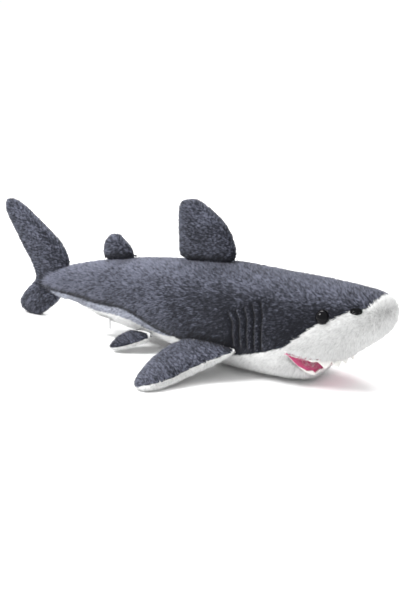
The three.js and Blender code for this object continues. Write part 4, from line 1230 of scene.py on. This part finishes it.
class PLUSH_OT_tail_fin(bpy.types.Operator):
    """Makes the forked tail fin with its sewn lobes, and its pile"""
    bl_idname = "plush.tail_fin"
    bl_label = "Tail fin"

    def execute(self, context):
        s = sizes()
        rows = np.array(CAUDAL_ROWS)
        lines = [smooth_line(list(zip(rows[:, 0], rows[:, k])), CAUDAL_HEIGHT, 1)
                 for k in (1, 2, 3)]
        inset = EDGE_INSET
        turn = 2 * math.pi * np.arange(FIN_AROUND) / FIN_AROUND
        bottom, top = 0.004 * CAUDAL_HEIGHT + inset, CAUDAL_HEIGHT - inset
        rings = []
        for z in bottom + (top - bottom) * (1 - np.cos(math.pi * np.linspace(0, 1, 56))) / 2:
            rear = float(lines[0](z)) * LENGTH + inset
            front = float(lines[1](z)) * LENGTH - inset
            half = max(float(lines[2](z)) * 10 - 1.2, 0.5)
            x = (rear + front) / 2 + (front - rear) / 2 * power(np.cos(turn))
            rings.append(np.stack([x, half * np.sin(turn), np.full(FIN_AROUND, z)], 1) * MM)
        form = new_object("tail_fin_form", *ringed(rings))
        outward(form.data)
        with_modifier(form, "REMESH", mode="VOXEL", voxel_size=0.003, adaptivity=0)
        soften(form.data, 1)
        z = np.linspace(bottom, top, 90)
        rear, front = lines[0](z) * LENGTH + inset, lines[1](z) * LENGTH - inset
        edge = np.r_[np.stack([rear, 0 * z, z], 1), np.stack([front, 0 * z, z], 1)] * MM
        strip_z = np.linspace(70, 119, 50)
        strip_x = lines[1](strip_z) * LENGTH - 7.5
        creases = []
        for side in (-1, 1):
            creases.append(np.stack([strip_x, np.full(50, side * 7.0), strip_z], 1) * MM)
            t = np.linspace(0, 1, 40)
            creases.append(np.stack([-166 - 38 * t, side * (9 - 3 * t), 66 - 14 * t ** 0.7], 1) * MM)
            creases.append(np.stack([-172 - 33 * t, side * (8 - 3 * t), 27 + 13 * t], 1) * MM)
        co = coords(form.data)
        held = falloff(co, edge, 0.003)
        for line in creases:
            held = np.maximum(held, falloff(co, line, 0.003))
        stuff(form, np.clip(held, 0, 1), 0.0026, FIN_PRESSURE)
        with_modifier(form, "SUBSURF", levels=1, render_levels=1)
        co, n = coords(form.data), normals(form.data)
        ditch = falloff(co, edge, 0.0018)
        shift = ditch * 0.0005
        tone = 0.8 * ditch - 0.25
        for line in creases:
            near = falloff(co, line, 0.0024)
            shift = shift + near * s.seam_depth * 0.8
            # Painted shade along the sewn creases of the lobes, where the cloth is dented.
            tone = tone - near * 2.6
        co = co - n * shift[:, None]
        co[:, 2] = np.maximum(co[:, 2], ABOVE_FLOOR)
        set_coords(form.data, co)
        smooth_shaded(form.data)
        height = co[:, 2] / MM
        lift = np.where(height > 48, 1.0, -0.8)
        nap = np.stack([-np.ones(len(co)) * 0.8, np.zeros(len(co)), lift], 1)
        plush_marks(form.data, nap, None, 0.9 * np.ones(len(co)), tone)
        start, end = bend_ends(FORK)
        bend = lambda p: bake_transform(p, "tail_stock", "caudal_fin", start, end)
        skin = split_off(form, "caudal_fin_cloth", np.ones(len(form.data.polygons), bool))
        dress(skin, backing_of("grey"))
        grow_pile(skin, "caudal_fin_pile", "grey", bend, length=0.9, lay=0.7, seed=50,
                  density=1.1)
        forget(skin.data, *MARKS)
        bend(skin)
        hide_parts("caudal_fin_skin_left", "caudal_fin_skin_right", "caudal_fin_filling")
        bpy.data.objects.remove(form)
        return {"FINISHED"}


# ---- Mouth ----------------------------------------------------------------------------

def lip_outline(level, inset, count=60, back=0.0):
    """Points round a lip from the left corner over the front to the right one."""
    reach = CORNER[0]
    while belly_line(reach) < level(reach):
        reach += 0.25
    front = reach - CORNER[0]
    places = []
    for t in np.linspace(1, -1, count):
        x = CORNER[0] + back + (front - back - inset) * math.cos(t * math.pi / 2) ** 0.9
        z = level(x)
        y = math.copysign(max(float(side_at(x, z)) - inset, 0), t)
        places.append((x, y, z))
    return np.array(places)


class PLUSH_OT_mouth_lining(bpy.types.Operator):
    """Lines the open mouth with velour: its palate, and the inside of the jaw"""
    bl_idname = "plush.mouth_lining"
    bl_label = "Mouth lining"

    def execute(self, context):
        velour = fibre_cloth("Pink velour", colours().pink, 0.85, 1400.0, (1, 1, 1), 0.45,
                             0.0004, sheen=0.5)
        hinge, turn = jaw_bend()
        for name, level, node, lift in (
                ("palate_velour", upper_lip, "palate_lining", -0.7),
                ("jaw_velour", jaw_top, "jaw_lining", 0.7)):
            outline = lip_outline(level, 2.9, 72, back=-3.5)
            half = len(outline) // 2
            left, right = outline[:half], outline[::-1][:half]
            normal = np.array((-LIP_SLOPE, 0, 1)) if lift < 0 else np.array((-JAW_SLOPE, 0, 1))
            normal = normal / np.linalg.norm(normal)
            verts, across = [], 22
            for a, b in zip(left, right):
                for j in range(across + 1):
                    u = j / across
                    p = a * (1 - u) + b * u
                    bow = 1.1 * math.sin(math.pi * u) * (1 if lift < 0 else -0.6)
                    crease = 0.35 * math.sin(p[0] * 0.9 + 2.1 * math.sin(p[1] * 0.13))
                    verts.append((p + normal * (lift + bow + crease)) * MM)
            sheet = new_object(name, verts, grid_faces(half, across))
            with_modifier(sheet, "SOLIDIFY", thickness=0.0008, offset=-1 if lift > 0 else 1)
            outward(sheet.data)
            smooth_shaded(sheet.data)
            sheet.data.materials.append(velour)
            if lift < 0:
                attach(sheet, "trunk")
            else:
                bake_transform(sheet, "trunk", "jaw", hinge, hinge + turn)
            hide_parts(node)
        return {"FINISHED"}


class PLUSH_OT_teeth(bpy.types.Operator):
    """Makes the felt strips of pointed teeth along both lips"""
    bl_idname = "plush.teeth"
    bl_label = "Felt teeth"

    def execute(self, context):
        felt = fibre_cloth("White felt", colours().felt, 0.95, 1100.0, (1, 1, 1), 0.12, 0.0003)
        rng = np.random.default_rng(12)
        hinge, turn = jaw_bend()
        long = sizes().tooth_length / MM
        for name, level, count, length, rise, node in (
                ("upper_felt_teeth", upper_lip, 9, long, -1, "upper_teeth"),
                ("lower_felt_teeth", jaw_top, 9, long * 0.4, 1, "lower_teeth")):
            path = lip_outline(level, 2.6, 400, back=1.0)
            steps = np.r_[0, np.cumsum(np.linalg.norm(np.diff(path, axis=0), axis=1))]
            total = steps[-1]
            at = lambda d: np.array([np.interp(d, steps, path[:, k]) for k in range(3)])
            verts, faces = [], []
            pitch = total / count
            fine = 8
            for i in range(count * fine + 1):
                d = min(i * pitch / fine, total)
                share = (i / fine) % 1
                middle = math.sin(math.pi * min(max(d / total, 0), 1))
                size = min(1, max(0.06, (middle - 0.42) * 2.6))
                if share == 0:
                    own = length * (0.9 + 0.2 * rng.random())
                drop = size * (0.9 + own * (1 - abs(2 * share - 1)) ** 0.9)
                point = at(d)
                ahead = at(min(d + 0.5, total)) - at(max(d - 0.5, 0))
                out = np.cross(ahead, (0, 0, 1))
                out = out / max(np.linalg.norm(out), 1e-6)
                if out[0] * (point[0] - CORNER[0]) + out[1] * point[1] < 0:
                    out = -out
                flare = 0.22 * drop
                hang = np.array((0, 0, rise))
                if rise > 0:
                    hang = np.array((0.35, 0, 0.94))
                tip = point + hang * drop + out * flare
                top = point - hang * 1.4 * size
                for p in (top, tip):
                    verts.append(p * MM)
            for i in range(count * fine):
                faces.append((2 * i, 2 * i + 1, 2 * i + 3, 2 * i + 2))
            strip = new_object(name, verts, faces)
            with_modifier(strip, "SOLIDIFY", thickness=0.0012, offset=0)
            with_modifier(strip, "BEVEL", width=0.00025, segments=2, limit_method="ANGLE")
            outward(strip.data)
            smooth_shaded(strip.data)
            strip.data.materials.append(felt)
            if rise < 0:
                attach(strip, "trunk")
            else:
                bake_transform(strip, "trunk", "jaw", hinge, hinge + turn)
            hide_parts(node)
        return {"FINISHED"}


# ---- Eyes, nostrils, gill threads and label -------------------------------------------

def basis(point, out, up=(0, 0, 1)):
    """A matrix whose Z is out, at a point given in millimetres."""
    z = Vector(out).normalized()
    x = Vector(up).cross(z).normalized()
    y = z.cross(x)
    place = Matrix((x, y, z)).transposed().to_4x4()
    place.translation = Vector(point) * MM
    return place


class PLUSH_OT_eyes(bpy.types.Operator):
    """Makes the domed safety eyes with their rims, and gives the washers inside the head their plastic"""
    bl_idname = "plush.eyes"
    bl_label = "Eyes"

    def execute(self, context):
        r = sizes().eye_radius
        gloss = hazy_plastic("Eye gloss", colours().black, 0.06, 0.03, 0.12, 380.0, specular=0.12)
        plastic = hazy_plastic("Washer plastic", (0.76, 0.76, 0.72), 0.5, 0.4, 0.6, 260.0)
        for side, name in ((1, "left"), (-1, "right")):
            point, out = on_side(*EYE, side)
            place = basis(point, out)
            profile = [(0.98, -2.4), (1.04, -1.2), (1.06, -0.4), (1.03, 0.1), (0.985, 0.35)]
            profile += [(math.cos(t), 0.4 + 0.74 * r / MM * math.sin(t))
                        for t in np.linspace(0.12, math.pi / 2 - 0.02, 14)]
            rings = []
            for share, height in profile:
                turn = np.linspace(0, 2 * math.pi, 48, endpoint=False)
                rings.append(np.stack([r * share * np.cos(turn), r * share * np.sin(turn),
                                       np.full(48, (height - 1.0) * MM)], 1))
            eye = new_object(f"eye_dome_{name}", *ringed(rings))
            eye.data.transform(place)
            outward(eye.data)
            smooth_shaded(eye.data)
            eye.data.materials.append(gloss)
            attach(eye, "trunk")
            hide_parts(f"eye_{name}")
            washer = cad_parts[f"eye_washer_{name}"]
            dress(washer, plastic)
        return {"FINISHED"}


def thread_tree():
    """Geometry Nodes: stitches set along a line, each a short thread that dips at its ends."""
    found = bpy.data.node_groups.get("Stitches")
    if found:
        return found
    tree, given, out = new_group(
        "Stitches", "GeometryNodeTree",
        [("Geometry", "NodeSocketGeometry", None), ("Pitch", "NodeSocketFloat", 0.003),
         ("Length", "NodeSocketFloat", 0.003), ("Thickness", "NodeSocketFloat", 0.0008),
         ("Slant", "NodeSocketFloat", 0.3), ("Seed", "NodeSocketInt", 1),
         ("Thread", "NodeSocketMaterial", None)],
        [("Geometry", "NodeSocketGeometry")])
    path = put(tree, "GeometryNodeMeshToCurve", {"Mesh": given["Geometry"]})
    points = put(tree, "GeometryNodeCurveToPoints", {"Curve": path.outputs[0],
                                                     "Length": given["Pitch"]}, mode="LENGTH")
    ball = put(tree, "GeometryNodeMeshIcoSphere", {"Radius": 0.5, "Subdivisions": 2})
    wobble = put(tree, "FunctionNodeRandomValue", {2: -0.25, 3: 0.25}, data_type="FLOAT")
    tree.links.new(given["Seed"], wobble.inputs["Seed"])
    slant = put(tree, "ShaderNodeMath", {0: given["Slant"], 1: wobble.outputs[1]},
                operation="ADD")
    aim = put(tree, "FunctionNodeAlignRotationToVector", {"Vector": points.outputs["Tangent"]},
              axis="Z")
    tilt = put(tree, "FunctionNodeAxisAngleToRotation", {"Axis": (1, 0, 0),
                                                         "Angle": slant.outputs[0]})
    spin = put(tree, "FunctionNodeRotateRotation", {"Rotation": aim.outputs[0],
                                                    "Rotate By": tilt.outputs[0]},
               rotation_space="LOCAL")
    size = put(tree, "ShaderNodeCombineXYZ", {"X": given["Thickness"], "Y": given["Thickness"],
                                              "Z": given["Length"]})
    grown = put(tree, "GeometryNodeInstanceOnPoints", {
        "Points": points.outputs["Points"], "Instance": ball.outputs["Mesh"],
        "Rotation": spin.outputs[0], "Scale": size.outputs[0]})
    real = put(tree, "GeometryNodeRealizeInstances", {"Geometry": grown.outputs[0]})
    smooth = put(tree, "GeometryNodeSetShadeSmooth", {"Geometry": real.outputs[0]})
    dyed = put(tree, "GeometryNodeSetMaterial", {"Geometry": smooth.outputs[0],
                                                 "Material": given["Thread"]})
    tree.links.new(dyed.outputs[0], out["Geometry"])
    return tree


def stitched(name, lines, thread, seed, **values):
    """A piece of stitches along lines of points, each line in metres."""
    verts = [tuple(p) for line in lines for p in line]
    mesh = bpy.data.meshes.new(name)
    edges, start = [], 0
    for line in lines:
        edges += [(start + i, start + i + 1) for i in range(len(line) - 1)]
        start += len(line)
    mesh.from_pydata(verts, edges, [])
    piece = bpy.data.objects.new(name, mesh)
    bpy.context.scene.collection.objects.link(piece)
    values = dict(values, Thread=thread, Seed=seed)
    take_mesh(piece, run_nodes(piece, "Stitches", thread_tree(), values), name)
    return piece


def black_thread():
    return fibre_cloth("Black thread", colours().black, 0.6, 2600.0, (1, 1, 4), 0.4, 0.0002)


class PLUSH_OT_threads(bpy.types.Operator):
    """Sews the gill tucks and embroiders the nostrils with black thread"""
    bl_idname = "plush.threads"
    bl_label = "Gill threads and nostrils"

    def execute(self, context):
        thread = black_thread()
        depth = sizes().gill_depth / MM
        for side, name in ((1, "left"), (-1, "right")):
            lines = [gill_curve(i, side, 40, sink=depth - 1.2) * MM for i in range(5)]
            piece = stitched(f"gill_threads_{name}", lines, thread, 3, Pitch=0.0022,
                             Length=0.0040, Thickness=0.0020, Slant=0.15)
            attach(piece, "trunk")
            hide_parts(*[f"gill_tuck_{name}_{i + 1}" for i in range(5)])
            point, out = on_side(*NOSTRIL, side)
            place = basis(point, out)
            rows = []
            for k in range(15):
                u = (k - 7) / 7.4
                wide = 2.7 * math.sqrt(max(0, 1 - u * u))
                across = []
                for v in np.linspace(-wide, wide, 7):
                    hump = 0.9 * math.sqrt(max(0, 1 - (v / 3.2) ** 2)) * math.sqrt(1 - u * u)
                    across.append(place @ Vector(((u * 5.8 + 0.22 * v) * MM, v * MM,
                                                  (hump - 0.1) * MM)))
                rows.append(across)
            patch = stitched(f"nostril_stitch_{name}", rows, thread, 5, Pitch=0.0005,
                             Length=0.0018, Thickness=0.00095, Slant=0.0)
            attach(patch, "trunk")
            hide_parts(f"nostril_{name}")
        return {"FINISHED"}


class PLUSH_OT_care_label(bpy.types.Operator):
    """Makes the blank satin care label, a folded loop caught in the rear side seam"""
    bl_idname = "plush.care_label"
    bl_label = "Care label"

    def execute(self, context):
        satin = fibre_cloth("White satin", colours().satin, 0.35, 1500.0, (0.15, 1, 3), 0.12,
                            0.0001, sheen=0.2, shine=0.5)
        low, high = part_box("care_label")
        y = (low.y + high.y) / 2
        profile = []
        for t in np.linspace(0, 1, 15):
            profile.append((-0.55 + 0.2 * math.sin(3 * t), high.z / MM - 11.0 * t))
        for t in np.linspace(0, math.pi, 7)[1:-1]:
            profile.append((-0.55 * math.cos(t), high.z / MM - 11.0 - 0.55 * math.sin(t)))
        for t in np.linspace(1, 0, 15):
            profile.append((0.55 + 0.2 * math.sin(3 * t), high.z / MM - 11.0 * t))
        verts, across = [], 26
        for a, z in profile:
            for j in range(across + 1):
                x = low.x + (high.x - low.x) * j / across
                wave = 0.5 * math.sin(j / across * 5.2 + z * 0.12)
                verts.append((x, y + (a - wave) * MM, z * MM))
        label = new_object("satin_care_label", verts, grid_faces(len(profile), across))
        with_modifier(label, "SOLIDIFY", thickness=0.00018, offset=0)
        outward(label.data)
        smooth_shaded(label.data)
        label.data.materials.append(satin)
        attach(label, "rear_body")
        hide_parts("care_label")
        return {"FINISHED"}


# ---- Stage ----------------------------------------------------------------------------

AIM = (0, 0, 0.05)
VIEW_AIM = (0, 0, 0.06)
VIEW_AZIMUTH, VIEW_ELEVATION, VIEW_DISTANCE = 36, 16.5, 1.5
LENS = 84.94
SHIFT = (0.02745, -0.01082)
FLOOR_REACH = 40


def area_light(name, place, size, power):
    light = bpy.data.lights.new(name, "AREA")
    light.shape, light.size, light.energy = "DISK", size, power
    lamp = bpy.data.objects.new(name, light)
    lamp.location = place
    lamp.rotation_euler = (Vector(AIM) - Vector(place)).to_track_quat("-Z", "Y").to_euler()
    bpy.context.scene.collection.objects.link(lamp)


class PLUSH_OT_stage(bpy.types.Operator):
    """Sets the pale floor, the soft light and the camera"""
    bl_idname = "plush.stage"
    bl_label = "Stage"

    def execute(self, context):
        corners = [(x * FLOOR_REACH, y * FLOOR_REACH, 0)
                   for x, y in ((-1, -1), (1, -1), (1, 1), (-1, 1))]
        floor = new_object("floor", corners, [(0, 1, 2, 3)])
        paper, bsdf = shader("Floor paper", 0.75, specular=0.2)
        bsdf.inputs["Base Color"].default_value = (0.96, 0.96, 0.96, 1)
        floor.data.materials.append(paper)
        world = bpy.data.worlds.new("Studio")
        context.scene.world = world
        world.use_nodes = True
        sky = world.node_tree.nodes["Background"]
        sky.inputs["Color"].default_value = (1, 1, 1, 1)
        sky.inputs["Strength"].default_value = 1.05
        area_light("Key", (-0.75, -1.0, 1.35), 0.7, 30)
        area_light("Rim", (-0.6, 0.7, 1.4), 0.8, 18)
        context.scene.view_settings.view_transform = "Standard"
        azimuth, elevation = math.radians(VIEW_AZIMUTH), math.radians(VIEW_ELEVATION)
        toward = Vector((math.sin(azimuth) * math.cos(elevation),
                         -math.cos(azimuth) * math.cos(elevation), math.sin(elevation)))
        data = bpy.data.cameras.new("Camera")
        data.sensor_fit = "AUTO"
        data.lens = LENS
        data.shift_x, data.shift_y = SHIFT
        data.clip_start, data.clip_end = 0.05, 100
        camera = bpy.data.objects.new("Camera", data)
        camera.location = Vector(VIEW_AIM) + toward * VIEW_DISTANCE
        camera.rotation_euler = (-toward).to_track_quat("-Z", "Y").to_euler()
        context.scene.collection.objects.link(camera)
        context.scene.camera = camera
        return {"FINISHED"}


class PLUSH_PT_panel(bpy.types.Panel):
    bl_idname = "PLUSH_PT_panel"
    bl_label = "Plush Shark"
    bl_space_type = "VIEW_3D"
    bl_region_type = "UI"
    bl_category = "Plush Shark"

    def draw(self, context):
        layout = self.layout
        for group in (context.scene.plush_sizes, context.scene.plush_colours):
            box = layout.box()
            for name in group.bl_rna.properties.keys():
                if name not in ("rna_type", "name"):
                    box.prop(group, name)
        for operator in OPERATORS:
            layout.operator(operator.bl_idname)


OPERATORS = (PLUSH_OT_stage, PLUSH_OT_body, PLUSH_OT_fins, PLUSH_OT_tail_fin,
             PLUSH_OT_mouth_lining, PLUSH_OT_teeth, PLUSH_OT_eyes, PLUSH_OT_threads,
             PLUSH_OT_care_label)
CLASSES = (PlushSizes, PlushColours) + OPERATORS + (PLUSH_PT_panel,)


def register():
    for item in CLASSES:
        bpy.utils.register_class(item)
    bpy.types.Scene.plush_sizes = bpy.props.PointerProperty(type=PlushSizes)
    bpy.types.Scene.plush_colours = bpy.props.PointerProperty(type=PlushColours)


def unregister():
    del bpy.types.Scene.plush_colours
    del bpy.types.Scene.plush_sizes
    for item in reversed(CLASSES):
        bpy.utils.unregister_class(item)


def main():
    register()
    bpy.ops.plush.stage()
    bpy.ops.plush.body()
    bpy.ops.plush.fins()
    bpy.ops.plush.tail_fin()
    bpy.ops.plush.mouth_lining()
    bpy.ops.plush.teeth()
    bpy.ops.plush.eyes()
    bpy.ops.plush.threads()
    bpy.ops.plush.care_label()


if __name__ == "__main__":
    main()
